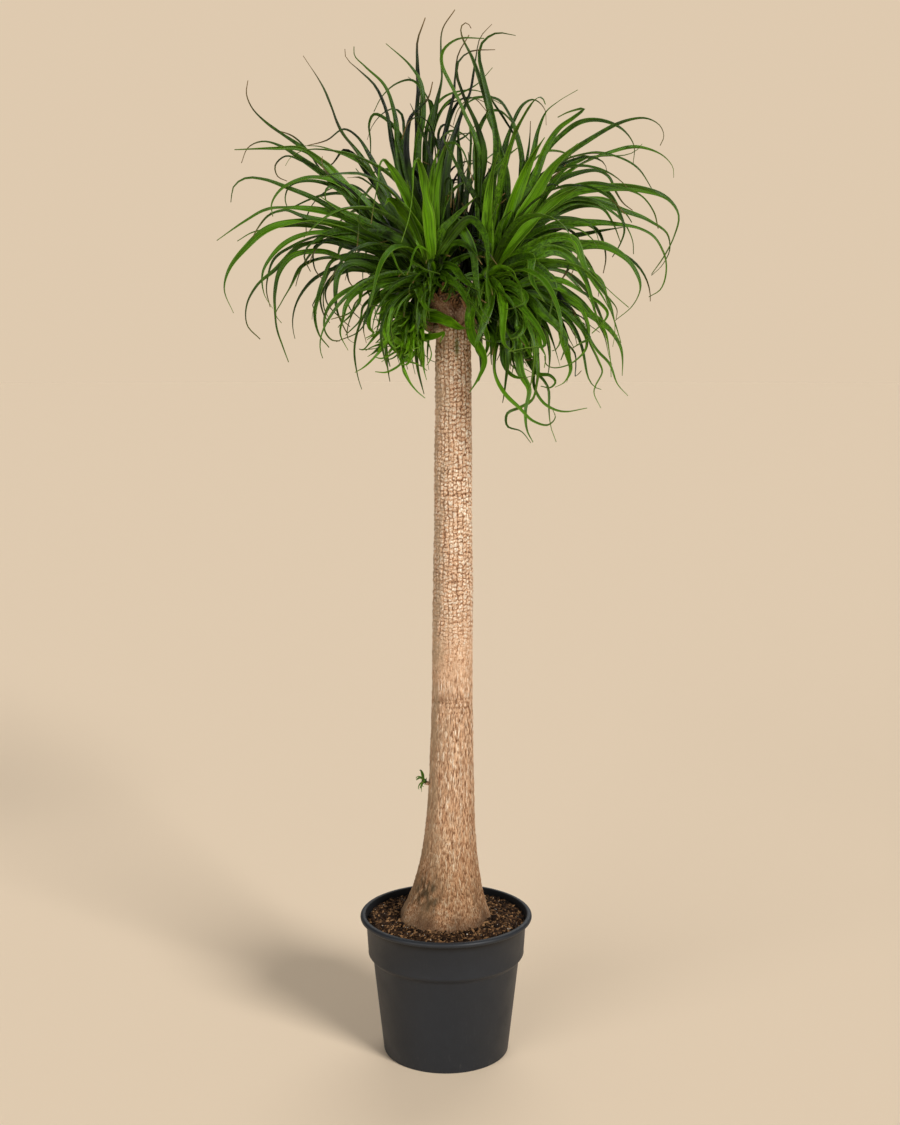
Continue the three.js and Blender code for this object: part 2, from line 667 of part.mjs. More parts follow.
        [88, 1430], [100, 1500], [97, 1565], [84, 1620], [65, 1680], [45, 1738], [27, 1775], [26, 1790],
        [35, 1796], [42, 1787],
      ),
      seen(-90, 17, [20, 20], [66, 1440], [60, 1500], [68, 1535], [85, 1560], [104, 1580], [122, 1594]),
      seen(-120, 19, [5, 20], [72, 1430], [70, 1480], [74, 1530], [80, 1560], [88, 1585]),
    ],
  },
  {
    name: "right_rosette",
    crown: CROWN,
    fork: 1288,
    azimuth: 22,
    out: 56,
    height: 1344,
    splay: 0.55,
    sector: [4, 66],
    grown: 12,
    reach: [390, 240],
    rise: [82, -20],
    seed: 61,
    traced: [
      seen(60, 15, [30, 50],
        [96, 1430], [132, 1520], [178, 1598], [225, 1635], [262, 1638], [298, 1623], [317, 1597],
        [316, 1566],
      ),
      seen(30, 16, [40, 40],
        [102, 1420], [150, 1520], [195, 1572], [245, 1586], [290, 1579], [325, 1559], [350, 1523],
      ),
      seen(90, 17, [30, 40],
        [105, 1415], [155, 1505], [218, 1562], [265, 1583], [322, 1595], [362, 1583], [383, 1562],
        [385, 1544],
      ),
      seen(10, 15, [30, 30],
        [105, 1410], [150, 1490], [185, 1535], [218, 1551], [255, 1556], [275, 1546], [288, 1520],
        [300, 1502], [316, 1490],
      ),
      seen(70, 11, [30, 30],
        [108, 1400], [155, 1475], [208, 1508], [243, 1508], [275, 1492], [301, 1471], [317, 1440],
        [319, 1417],
      ),
      seen(110, 17, [20, 20],
        [110, 1400], [155, 1465], [204, 1492], [240, 1499], [266, 1493], [284, 1468], [297, 1436],
      ),
      seen(20, 18, [30, 20],
        [108, 1405], [160, 1485], [215, 1525], [255, 1528], [278, 1514], [294, 1486], [303, 1458],
        [296, 1434], [283, 1412],
      ),
      seen(40, 18, [30, 50],
        [108, 1395], [140, 1440], [190, 1466], [250, 1470], [310, 1465], [350, 1450], [371, 1418],
        [375, 1385], [366, 1358], [346, 1345],
      ),
      seen(80, 15, [20, 30],
        [108, 1390], [150, 1440], [200, 1464], [240, 1467], [260, 1453], [270, 1427], [272, 1408],
        [268, 1385],
      ),
      seen(0, 20, [30, 30],
        [110, 1385], [160, 1415], [215, 1430], [265, 1432], [298, 1417], [322, 1391], [332, 1361],
        [320, 1332], [289, 1305],
      ),
      seen(100, 18, [30, 40],
        [112, 1395], [155, 1465], [205, 1503], [245, 1506], [295, 1492], [345, 1473], [376, 1452],
        [381, 1425], [368, 1398], [350, 1381],
      ),
      seen(20, 11, [20, 20], [98, 1430], [120, 1510], [136, 1570], [141, 1610], [142, 1637]),
      seen(50, 15, [20, 40],
        [96, 1430], [125, 1520], [146, 1580], [155, 1622], [168, 1652], [186, 1668], [221, 1688],
      ),
      seen(60, 16, [20, 20],
        [112, 1380], [150, 1410], [190, 1435], [215, 1447], [240, 1452], [262, 1456], [300, 1462],
      ),
      seen(30, 12, [20, 30], [98, 1430], [125, 1520], [122, 1600], [100, 1638], [78, 1670], [57, 1706]),
      seen(60, 14, [20, 30],
        [75, 1430], [55, 1530], [50, 1590], [58, 1628], [74, 1652], [90, 1654], [110, 1637], [125, 1610],
      ),
      seen(80, 17, [15, 40],
        [85, 1430], [92, 1520], [98, 1590], [112, 1632], [130, 1665], [148, 1672], [166, 1657],
        [169, 1630],
      ),
      seen(10, 15, [20, 40],
        [100, 1430], [126, 1520], [128, 1580], [118, 1620], [105, 1652], [90, 1671], [66, 1677],
        [38, 1673], [20, 1655], [12, 1630],
      ),
    ],
  },
  {
    name: "back_rosette",
    crown: CROWN,
    fork: 1288,
    azimuth: 88,
    out: 44,
    height: 1358,
    splay: 0.35,
    sector: [56, 128],
    grown: 20,
    reach: [400, 230],
    rise: [88, -20],
    seed: 83,
    traced: [
      seen(70, 17, [10, 130],
        [-8, 1450], [-28, 1530], [-28, 1600], [-18, 1655], [-9, 1700], [-9, 1745], [-6, 1785],
        [15, 1817],
      ),
      seen(90, 15, [20, 30],
        [0, 1450], [-25, 1540], [-25, 1608], [-5, 1660], [25, 1682], [52, 1697], [78, 1724],
      ),
      seen(120, 10, [20, 30],
        [-5, 1450], [-35, 1560], [-28, 1640], [-5, 1675], [25, 1686], [50, 1687], [78, 1677],
      ),
      seen(80, 21, [5, 60],
        [-12, 1450], [-46, 1530], [-46, 1600], [-37, 1650], [-41, 1698], [-60, 1728], [-100, 1763],
      ),
      seen(110, 10, [20, 20],
        [-10, 1450], [-48, 1560], [-42, 1650], [-42, 1690], [-58, 1704], [-85, 1697], [-108, 1676],
        [-121, 1652],
      ),
      seen(100, 13, [20, 30],
        [20, 1450], [25, 1550], [20, 1620], [26, 1655], [45, 1672], [70, 1675], [95, 1664],
      ),
      seen(140, 13, [20, 20], [15, 1450], [-5, 1540], [-10, 1600], [5, 1620], [25, 1618], [45, 1600]),
      seen(60, 15, [10, 20], [25, 1450], [35, 1520], [40, 1575], [42, 1610], [38, 1640]),
    ],
  },
  {
    name: "low_tuft",
    crown: TUFT_CROWN,
    fork: 1276,
    azimuth: 192,
    out: 52,
    height: 1300,
    splay: 1.6,
    sector: [110, 270],
    grown: 7,
    reach: [85, 130],
    rise: [70, -70],
    seed: 131,
    traced: [
      seen(-30, 8, [20, 20], [-62, 1333], [-84, 1330], [-103, 1315], [-111, 1296]),
      seen(-50, 11, [30, 10],
        [-75, 1338], [-105, 1345], [-124, 1335], [-132, 1313], [-131, 1294], [-124, 1284], [-137, 1276],
      ),
      seen(-20, 8, [20, 40], [-70, 1305], [-98, 1282], [-108, 1266], [-123, 1252], [-134, 1245]),
      seen(-60, 8, [30, 30],
        [-72, 1308], [-100, 1276], [-112, 1256], [-129, 1237], [-142, 1226], [-156, 1218],
      ),
      seen(-10, 8, [30, 30], [-68, 1300], [-98, 1276], [-93, 1260], [-79, 1246]),
      seen(-70, 9, [10, 30], [-66, 1305], [-92, 1279], [-76, 1267], [-62, 1259], [-61, 1251], [-72, 1246]),
      seen(-40, 8, [20, 40],
        [-66, 1298], [-86, 1268], [-80, 1250], [-74, 1233], [-71, 1217], [-62, 1201], [-50, 1186],
        [-36, 1174],
      ),
      seen(-55, 6, [20, 20],
        [-60, 1292], [-64, 1265], [-60, 1252], [-72, 1238], [-86, 1226], [-103, 1218], [-121, 1219],
      ),
      seen(-30, 6, [40, 40], [-48, 1290], [-41, 1268], [-39, 1245], [-38, 1226], [-33, 1205]),
      seen(-80, 15, [10, 20], [-42, 1314], [-22, 1313], [-4, 1308], [10, 1301], [24, 1294], [38, 1292]),
      seen(-70, 12, [20, 40], [-50, 1285], [-33, 1278], [-16, 1280], [-4, 1284], [-10, 1268]),
    ],
  },
  {
    name: "trunk_sprout",
    crown: BUD_CROWN,
    fork: 486,
    azimuth: 184,
    out: 45,
    height: 494,
    splay: 0.9,
    sector: [100, 260],
    grown: 5,
    reach: [34, 30],
    rise: [84, 0],
    seed: 173,
    traced: [],
  },
];

// Leaves by rule: the youngest stand up in the middle, the oldest hang from the foot of the rosette.
function grownLeaves({ crown, sector, grown, reach, rise, seed }) {
  const size = crown.radius / CROWN.radius;
  return Array.from({ length: grown }, (_, i) => {
    const draw = (k) => chance(seed + i, k);
    const age = (i + 0.5) / grown;
    const turn = (i * GOLDEN_TURN + 0.2 * draw(1)) % 1;
    const slopes = [between(...rise, age ** 1.1) + between(-7, 7, draw(2))];
    for (const [least, most] of [[6, 26], [14, 38], [18, 46], [10, 62]]) {
      slopes.push(Math.max(-115, slopes.at(-1) - between(least, most, draw(3 + slopes.length))));
    }
    return {
      azimuth: between(...sector, turn),
      length: between(...reach, age ** 1.7) * between(0.82, 1.06, draw(8)),
      slopes,
      curl: draw(9) > 0.75 ? between(-90, 110, draw(10)) : 0,
      sway: between(-9, 9, draw(11)),
      twist: between(-60, 60, draw(12)),
      start: between(0.95, 0.1, age),
      width: Math.min(1, size * 1.05) * BLADE.width * between(0.8, 1.1, draw(13)),
      joints: size < 1 ? 3 : 5,
    };
  });
}

// A point round the trunk's middle line.
function besideTrunk({ azimuth, out, height }) {
  const heading = radians(azimuth);
  return new THREE.Vector3(trunkMiddle(height) + out * Math.cos(heading), out * Math.sin(heading), height);
}

const rosetteAxis = ({ azimuth, splay }) =>
  new THREE.Vector3(splay * Math.cos(radians(azimuth)), splay * Math.sin(radians(azimuth)), 1).normalize();

// A round stem over stations that each have a middle, the way the stem runs there, and a radius.
function stemGeometry(stations) {
  const up = new THREE.Vector3(0, 0, 1);
  return loft(
    stations.map(({ middle, axis, radius }) => {
      const turn = new THREE.Quaternion().setFromUnitVectors(up, axis);
      return Array.from({ length: radius > 0 ? STEM_FACETS : 1 }, (_, k) => {
        const angle = (k / STEM_FACETS) * 2 * Math.PI;
        const spoke = new THREE.Vector3(radius * Math.cos(angle), radius * Math.sin(angle), 0);
        return spoke.applyQuaternion(turn).add(middle);
      });
    }),
  );
}

// The branch is one wood with the trunk and ends in a flat face under its rosette.
function branchGeometry(rosette) {
  const { crown, fork } = rosette;
  const base = besideTrunk({ azimuth: 0, out: 0, height: fork });
  const way = besideTrunk(rosette).sub(base);
  const stations = [0, 0.45, 0.8, 1].map((share) => ({
    middle: base.clone().addScaledVector(way, share),
    axis: way.clone().normalize().lerp(rosetteAxis(rosette), share).normalize(),
    radius: crown.radius * between(1.4, 1, share),
  }));
  return stemGeometry(stations);
}

// How far up the rosette's stem a large leaf grows, from the height of the first spot it passes. Leaves of one
// height stand a little apart.
function startOf([x, z], footHeight) {
  const rise = Math.min(1, Math.max(0, (z - footHeight) / BLADE.steepRise));
  return between(0, 0.88, rise) + 0.12 * chance(x, z);
}

function rosetteGeometry(rosette) {
  const { crown } = rosette;
  const axis = rosetteAxis(rosette);
  const foot = besideTrunk(rosette).addScaledVector(axis, SEAT_GAP);
  const outline = [
    [0, crown.radius],
    [0.2, crown.belly],
    [0.5, crown.belly * 0.95],
    [0.8, crown.belly * 0.6],
    [1, 0],
  ];
  const stations = outline.map(([share, radius]) => ({
    middle: foot.clone().addScaledVector(axis, share * crown.length),
    axis,
    radius,
  }));
  const blades = [...rosette.traced, ...grownLeaves(rosette)].map((blade) => {
    const start = blade.spots ? startOf(blade.spots[0], foot.z) : blade.start;
    const share = between(BLADE.lowestRoot, BLADE.highestRoot, start);
    const root = foot.clone().addScaledVector(axis, crown.length * share);
    return solidOf(bladeGeometry(blade, root));
  });
  return geometryOf(onePiece([solidOf(stemGeometry(stations)), ...blades]));
}

// ---------- Scene graph ----------

const finish = (color, roughness) => new THREE.MeshStandardMaterial({ color, roughness, metalness: 0 });
const MATERIALS = {
  plastic: finish(0x2e3033, 0.55),
  soil: finish(0x3a271a, 0.95),
  bark: finish(0xb58e68, 0.9),
  leaf: finish(0x38620f, 0.45),
};

const palm = new THREE.Group();
function add(name, geometry, material) {
  const mesh = new THREE.Mesh(geometry, MATERIALS[material]);
  mesh.name = name;
  palm.add(mesh);
}

add("pot", potGeometry(), "plastic");
add("soil", soilGeometry(), "soil");
add("trunk", trunkGeometry(), "bark");
for (const rosette of ROSETTES) add(rosette.name, rosetteGeometry(rosette), "leaf");

export default palm;
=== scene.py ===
"""A ponytail palm in a round nursery pot: the finished look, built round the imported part.

Sizes are millimetres, turned into metres where a point is placed. The plant's front faces -Y.
"""

import math

import bmesh
import bpy
from mathutils import Matrix, Quaternion, Vector, noise
from mathutils.geometry import intersect_point_line


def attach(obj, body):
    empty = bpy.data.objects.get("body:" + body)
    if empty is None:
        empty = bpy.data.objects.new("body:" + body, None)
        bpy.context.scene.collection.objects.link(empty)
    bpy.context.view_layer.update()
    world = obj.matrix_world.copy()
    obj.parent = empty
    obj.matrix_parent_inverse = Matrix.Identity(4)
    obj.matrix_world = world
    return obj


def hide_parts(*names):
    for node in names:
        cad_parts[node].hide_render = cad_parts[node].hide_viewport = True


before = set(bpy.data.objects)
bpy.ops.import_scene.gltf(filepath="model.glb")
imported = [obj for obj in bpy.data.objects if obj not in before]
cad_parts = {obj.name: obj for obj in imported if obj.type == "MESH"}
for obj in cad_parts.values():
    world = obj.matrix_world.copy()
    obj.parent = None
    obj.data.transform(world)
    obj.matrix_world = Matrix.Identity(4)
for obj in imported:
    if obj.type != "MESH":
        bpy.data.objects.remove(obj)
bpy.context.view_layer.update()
noise.seed_set(1)  # so that the vector noise is the same in every run

MM = 0.001
TURN = 2 * math.pi

# ---------- Real sizes ----------

POT_HEIGHT = 254
POT_WALL = 2.2
POT_FLOOR = 3
RIM_RADIUS = 154  # outside of the rolled rim
RIM_DEPTH = 10
BAND_TOP_RADIUS = 144  # the band under the rim, down to the shoulder
BAND_BOTTOM_RADIUS = 140
SHOULDER_TOP = 184
SHOULDER_BOTTOM = 171
BODY_TOP_RADIUS = 131
BASE_RADIUS = 112.5
FOOT_ROUNDING = 3
DRAIN_HOLES = 8
DRAIN_RADIUS = 6
DRAIN_CIRCLE = 84
POT_STEPS = 144

SOIL_LEVEL = 243
SOIL_MOUND = 3
SOIL_EDGE = 141
SOIL_CLEARANCE = 0.6  # round the trunk and inside the wall

TRUNK_TOP = 1322
SOIL_LINE = 244
TOP_RADIUS = 30.2
TRUNK_TAPER = 0.0105
TOP_OF_TAPER = 1170
FLARE = 44
FLARE_REACH = 88
LEAN = 12.5
LEAN_BACK = 16
LEAN_REACH = 150
ROOT_DEPTH = 112
TRUNK_STEPS = 160
TRUNK_ROW = 1.85  # height of one row of faces on the bark

FISSURES = 24  # upright cracks round the trunk
PLATE_HEIGHT = 7.6  # of one corky plate on the upper trunk
PLATES_END = 760  # below this the plates run out into fibres
FLUTES = 7
FLUTE_HEIGHT = 3.2

BLADE_WIDTH = 17.5
BLADE_COLUMNS = 4
TRACED_ROWS = 60
GROWN_ROWS = 30
SKIRT_ROWS = 20
BLADE_STEPS = 60
BLADE_THICKNESS = 0.6
BLADE_TIP = 1.1
TAPER_POWER = 1.35
KEEL = 1.0
KEEL_SHARE = 0.19
CURL_FROM = 0.8
FLUTTER = 75  # degrees that a blade may twist to and fro
STEEP_RISE = 95  # a leaf whose first spot is this far above the rosette's foot grows from the stem's top
ROOT_SPAN = (0.16, 0.72)  # the leaves grow between these shares of the stem
GOLDEN_TURN = 0.618034
EYE = Vector((7, -2701, 1256))  # the camera's place, from where the large leaves are looked at

CROWN_MIDDLE = Vector((14, 25, 1425))  # the leaves near it get painted shade, a darker colour
INNER_REACH = 215
INNER_RISE = (1325, 1425)  # the shade sets in between these heights
INNER_SHADE = 2.2
ROOT_SHADE = 0.7  # painted shade: how much darker a grown leaf is at its root
TOP_SHADE = 0.35
TOP_RISE = (1540, 1660)  # the highest leaves get painted shade, darker between these heights
LOW_FALL = (1340, 1240)  # painted light: the lowest leaves get greener and lighter between these heights
BARE_MIDDLE = 8  # the trunk's top shows below the leaves: its middle, how far to either side, and how high up
BARE_REACH = 30
BARE_TOP = 1334
# Small leaves stay clear of these lines up the bright fans, as (x, z), where they are in front of FAN_FRONT.
FAN_LINES = [((-27, 1412), (-72, 1500)), ((-22, 1412), (-18, 1500)), ((96, 1412), (150, 1490))]
FAN_REACH = 11
FAN_FRONT = -58
CROWN = dict(radius=17, belly=20.5, length=66)  # the stem inside a rosette
TUFT_CROWN = dict(radius=8, belly=10, length=32)
BUD_CROWN = dict(radius=4.5, belly=5.5, length=11)

# ---------- Small helpers ----------


def chance(seed, draw):
    """A number from 0 to 1 that is always the same for the same two numbers."""
    wave = math.sin(seed * 12.9898 + draw * 78.233) * 43758.5453
    return wave - math.floor(wave)


def between(low, high, share):
    return low + (high - low) * share


def ease(low, high, value):
    """0 below low, 1 above high, and smooth in between."""
    share = min(1, max(0, (value - low) / (high - low)))
    return share * share * (3 - 2 * share)
def clamp(value, low=0, high=1):
    return max(low, min(high, value))


def bell(value, width):
    """1 where value is 0, running out to 0 over about twice the width."""
    return math.exp(-((value / width) ** 2))


def noise_at(*spot):
    """Smooth noise at a spot of three numbers."""
    return noise.noise(Vector(spot))

def paint(red, green, blue):
    """A colour as seen on a screen, from 0 to 255, for a shader."""
    return tuple(
        ((c / 255 + 0.055) / 1.055) ** 2.4 if c > 10 else c / 255 / 12.92
        for c in (red, green, blue)
    ) + (1,)


def round_noise(angle, z, knots, grain, seed=0):
    """Smooth noise over a round trunk: knots is how busy it is round the trunk, grain its height."""
    spot = Vector((math.cos(angle) * knots, math.sin(angle) * knots, z / grain))
    return noise.noise(spot + Vector((seed * 3.1, seed * 1.7, seed * 5.3)))


def finish_piece(bm, name, material, stands_for=()):
    """Makes an object of a finished mesh, riding on the plant's one body."""
    mesh = bpy.data.meshes.new(name)
    for face in bm.faces:
        face.smooth = True
    bm.to_mesh(mesh)
    bm.free()
    mesh.materials.append(material)
    piece = bpy.data.objects.new(name, mesh)
    bpy.context.scene.collection.objects.link(piece)
    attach(piece, "root")
    if stands_for:
        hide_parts(*stands_for)
    return piece


def blade_mesh():
    """An empty mesh for leaves, with its UV map and its layers."""
    bm = bmesh.new()
    bm.loops.layers.uv.new("blade")
    return bm, {title: bm.verts.layers.float.new(title) for title in ("youth", "tint")}


def thicken(piece, title):
    skin = piece.modifiers.new(title, "SOLIDIFY")
    skin.thickness, skin.offset = BLADE_THICKNESS * MM, -1


def turn_profile(points, steps):
    """A skin turned about the Z axis from points of (radius, height), closed at its seam and poles."""
    bm = bmesh.new()
    verts = [bm.verts.new((radius * MM, 0, height * MM)) for radius, height in points]
    edges = [bm.edges.new(pair) for pair in zip(verts, verts[1:])]
    bmesh.ops.spin(
        bm, geom=verts + edges, cent=(0, 0, 0), axis=(0, 0, 1), dvec=(0, 0, 0),
        angle=TURN, steps=steps, use_merge=True, use_normal_flip=False, use_duplicate=False,
    )
    bmesh.ops.remove_doubles(bm, verts=bm.verts, dist=1e-6)
    bmesh.ops.recalc_face_normals(bm, faces=bm.faces)
    return bm


def arc(centre, radius, start, end, count):
    """Points of (radius, height) on an arc, by angles in degrees."""
    angles = [math.radians(between(start, end, i / count)) for i in range(count + 1)]
    return [(centre[0] + radius * math.cos(a), centre[1] + radius * math.sin(a)) for a in angles]


# ---------- Shader helpers ----------


def feed(tree, socket, value):
    """Links a socket to another one, or gives it a plain value."""
    if isinstance(value, bpy.types.NodeSocket):
        tree.links.new(value, socket)
    else:
        socket.default_value = value


def add_node(tree, kind, inputs=None, **settings):
    made = tree.nodes.new(kind)
    for name, value in settings.items():
        setattr(made, name, value)
    for name, value in (inputs or {}).items():
        feed(tree, made.inputs[name], value)
    return made


def mix_colors(tree, share, first, second, blend="MIX"):
    inputs = {0: share, 6: first, 7: second}
    return add_node(tree, "ShaderNodeMix", inputs, data_type="RGBA", blend_type=blend).outputs[2]


def mix_values(tree, share, first, second):
    return add_node(tree, "ShaderNodeMix", {0: share, 2: first, 3: second}).outputs[0]


def ramp(tree, factor, stops):
    made = add_node(tree, "ShaderNodeValToRGB", {"Fac": factor})
    band = made.color_ramp
    while len(band.elements) < len(stops):
        band.elements.new(0.5)
    for element, (place, color) in zip(band.elements, stops):
        element.position = place
        element.color = paint(*color)
    return made.outputs["Color"]


def math_node(tree, operation, *values, clamped=False):
    inputs = dict(enumerate(values))
    return add_node(tree, "ShaderNodeMath", inputs, operation=operation, use_clamp=clamped).outputs[0]


def times(tree, first, second, clamped=False):
    return math_node(tree, "MULTIPLY", first, second, clamped=clamped)


def vector_math(tree, operation, inputs):
    return add_node(tree, "ShaderNodeVectorMath", inputs, operation=operation).outputs


def range_of(tree, value, low, high, new_low, new_high):
    inputs = {"Value": value, "From Min": low, "From Max": high, "To Min": new_low, "To Max": new_high}
    return add_node(tree, "ShaderNodeMapRange", inputs).outputs["Result"]


def attribute(tree, name):
    return add_node(tree, "ShaderNodeAttribute", attribute_name=name).outputs["Fac"]


def object_spot(tree, stretch=(1, 1, 1)):
    """Where the surface is, in metres, stretched for grain that runs one way."""
    spot = add_node(tree, "ShaderNodeTexCoord").outputs["Object"]
    return add_node(tree, "ShaderNodeMapping", {"Vector": spot, "Scale": stretch}).outputs["Vector"]


def noise_of(tree, spot, scale, detail=4.0, roughness=0.55, output="Fac"):
    inputs = {"Vector": spot, "Scale": scale, "Detail": detail, "Roughness": roughness}
    return add_node(tree, "ShaderNodeTexNoise", inputs).outputs[output]


def new_group(name, inputs, outputs):
    tree = bpy.data.node_groups.new(name, "ShaderNodeTree")
    kinds = {"color": "NodeSocketColor", "value": "NodeSocketFloat", "vector": "NodeSocketVector"}
    for way, sockets in (("INPUT", inputs), ("OUTPUT", outputs)):
        for title, kind in sockets.items():
            tree.interface.new_socket(title, in_out=way, socket_type=kinds[kind])
    entry, leave = tree.nodes.new("NodeGroupInput"), tree.nodes.new("NodeGroupOutput")
    return tree, entry.outputs, leave.inputs


def use_group(tree, group, inputs):
    return add_node(tree, "ShaderNodeGroup", inputs, node_tree=group).outputs


def new_material(name):
    material = bpy.data.materials.new(name)
    material.use_nodes = True
    tree = material.node_tree
    return material, tree, tree.nodes["Principled BSDF"]


def bump(tree, shader, height, strength, distance):
    inputs = {"Height": height, "Strength": strength, "Distance": distance}
    tree.links.new(add_node(tree, "ShaderNodeBump", inputs).outputs["Normal"], shader.inputs["Normal"])


def set_surface(tree, shader, color, roughness, specular):
    """A plain roughness or a linked one, and a specular level that is the same all over."""
    feed(tree, shader.inputs["Base Color"], color)
    feed(tree, shader.inputs["Roughness"], roughness)
    shader.inputs["Specular IOR Level"].default_value = specular


# ---------- Shared effects ----------


def mottle_group():
    """Uneven colour: broad patches and fine specks of a second colour."""
    tree, given, result = new_group(
        "mottle",
        {"Spot": "vector", "Color": "color", "Patches": "color", "Scale": "value", "Amount": "value"},
        {"Color": "color"},
    )
    broad = noise_of(tree, given["Spot"], given["Scale"], 3)
    fine = noise_of(tree, given["Spot"], times(tree, given["Scale"], 7.0), 4)
    both = math_node(tree, "ADD", times(tree, broad, 0.65), times(tree, fine, 0.35))
    share = times(tree, range_of(tree, both, 0.38, 0.62, 0, 1), given["Amount"], clamped=True)
    tree.links.new(mix_colors(tree, share, given["Color"], given["Patches"]), result["Color"])
    return tree


def blade_noise(tree, axes, stretch, detail, roughness):
    """Noise on a blade, from three values that are each stretched in their own way."""
    stretched = {axis: times(tree, value, by) for axis, value, by in zip("XYZ", axes, stretch)}
    spot = add_node(tree, "ShaderNodeCombineXYZ", stretched).outputs["Vector"]
    return noise_of(tree, spot, 1.0, detail, roughness)


def blade_group():
    """Colour of a strap leaf from where a point is on the blade: across and along it, from 0 to 1."""
    tree, given, result = new_group(
        "strap_blade",
        {
            "Blade": "vector", "Youth": "value", "Tint": "value", "Young": "color", "Grown": "color",
            "Shaded": "color", "Root": "color", "Dry": "color",
        },
        {"Color": "color", "Height": "value", "Roughness": "value"},
    )
    split = add_node(tree, "ShaderNodeSeparateXYZ", {"Vector": given["Blade"]})
    across, along, tint = split.outputs["X"], split.outputs["Y"], given["Tint"]
    veins = blade_noise(tree, (across, along, tint), (8.0, 1.6, 37.0), 4.0, 0.65)
    clouds = blade_noise(tree, (across, along, tint), (1.2, 7.0, 91.0), 3.0, 0.5)
    ribs = math_node(tree, "SINE", times(tree, across, TURN * 13))
    off_middle = math_node(tree, "ABSOLUTE", math_node(tree, "SUBTRACT", across, 0.5))
    light = math_node(tree, "SUBTRACT", 1.0, tint, clamped=True)

    uneven = range_of(tree, clouds, 0.3, 0.7, -0.16, 0.16)
    youth = math_node(tree, "ADD", given["Youth"], uneven, clamped=True)
    dark_vein = range_of(tree, veins, 0.38, 0.57, 0.7, 0.0)
    pale_rib = times(tree, range_of(tree, off_middle, 0.0, 0.045, 0.5, 0.0), light)
    pale_edge = times(tree, range_of(tree, off_middle, 0.455, 0.49, 0.0, 0.5), light)
    pale_root = times(tree, range_of(tree, along, 0.02, 0.2, 0.85, 0.0), given["Youth"], clamped=True)
    old = range_of(tree, tint, 0.6, 0.95, 0.1, 1.0)
    dry_tip = times(tree, old, range_of(tree, along, 0.86, 0.99, 0.0, 1.0))
    color = mix_colors(tree, tint, given["Grown"], given["Shaded"])
    for share, name in (
        (youth, "Young"), (dark_vein, "Shaded"), (pale_rib, "Young"), (pale_edge, "Root"),
        (pale_root, "Root"), (dry_tip, "Dry"),
    ):
        color = mix_colors(tree, share, color, given[name])
    tree.links.new(color, result["Color"])
    tree.links.new(math_node(tree, "MULTIPLY_ADD", ribs, 0.22, veins), result["Height"])
    tree.links.new(range_of(tree, clouds, 0.3, 0.7, 0.3, 0.42), result["Roughness"])
    return tree


MOTTLE = mottle_group()
BLADE = blade_group()

# ---------- Materials ----------


def mottled(tree, color, patches, scale, amount, stretch=(1, 1, 1)):
    inputs = {
        "Spot": object_spot(tree, stretch), "Color": color, "Patches": paint(*patches),
        "Scale": scale, "Amount": amount,
    }
    return use_group(tree, MOTTLE, inputs)["Color"]


def pot_plastic():
    material, tree, shader = new_material("charcoal moulded plastic")
    spot = object_spot(tree)
    height = add_node(tree, "ShaderNodeSeparateXYZ", {"Vector": spot}).outputs["Z"]
    out = vector_math(tree, "LENGTH", {0: object_spot(tree, (1, 1, 0))})["Value"]
    scuffs = noise_of(tree, object_spot(tree, (1, 1, 0.2)), 260, 3, 0.7)
    near_floor = range_of(tree, height, 0.0, 0.04, 0.3, 0.03)
    worn = times(tree, near_floor, range_of(tree, scuffs, 0.58, 0.7, 0, 1), clamped=True)
    # The top of the rim is a little lighter and bluer: partly wear, partly painted highlight.
    lip = range_of(tree, height, 0.247, 0.25, 0, 0.1)
    # Painted shade: the inner wall above the soil is near black.
    inside = range_of(tree, out, 0.1465, 0.149, 0.85, 0)
    inside = times(tree, inside, range_of(tree, height, 0.232, 0.24, 0, 1))
    color = mottled(tree, paint(32, 36, 42), (27, 30, 35), 9, 0.6)
    for share, tone in ((worn, (104, 102, 98)), (lip, (56, 59, 63)), (inside, (14, 15, 17))):
        color = mix_colors(tree, share, color, paint(*tone))
    rough = range_of(tree, noise_of(tree, spot, 18, 5, 0.6), 0.3, 0.7, 0.44, 0.56)
    set_surface(tree, shader, color, rough, 0.33)
    bump(tree, shader, noise_of(tree, spot, 1300, 2, 0.6), 0.14, 0.0004)
    return material


def soil_material():
    material, tree, shader = new_material("peat and bark soil")
    ground = ramp(tree, attribute(tree, "crumb_tint"), [
        (0.0, (10, 7, 4)), (0.3, (44, 29, 18)), (0.6, (104, 73, 45)),
        (0.88, (166, 126, 86)), (0.94, (160, 122, 84)), (1.0, (226, 214, 196)),
    ])
    set_surface(tree, shader, mottled(tree, ground, (20, 13, 9), 90, 0.5), 0.95, 0.15)
    bump(tree, shader, noise_of(tree, object_spot(tree), 900, 5, 0.7), 0.7, 0.0014)
    return material


def warped(tree, spot, scale, amount):
    """A spot that is pushed about by noise, so that a pattern on it curls."""
    push = noise_of(tree, spot, scale, 2.0, 0.5, "Color")
    centred = vector_math(tree, "SUBTRACT", {0: push, 1: (0.5, 0.5, 0.5)})[0]
    small = vector_math(tree, "SCALE", {0: centred, 3: amount})[0]
    return vector_math(tree, "ADD", {0: spot, 1: small})[0]


# Tints over the bark, in their order: the layer that says where, the colour, and how it is laid on.
BARK_TINTS = [
    # the first tint is partly weathering, partly painted shade on one side of the trunk
    ("weathering_and_side_shade", (190, 164, 134), "MIX"), ("lowdown", (188, 168, 138), "MULTIPLY"),
    ("stain", (60, 50, 32), "MIX"), ("moss", (82, 96, 38), "MIX"), ("scaly", (88, 62, 42), "MIX"),
]


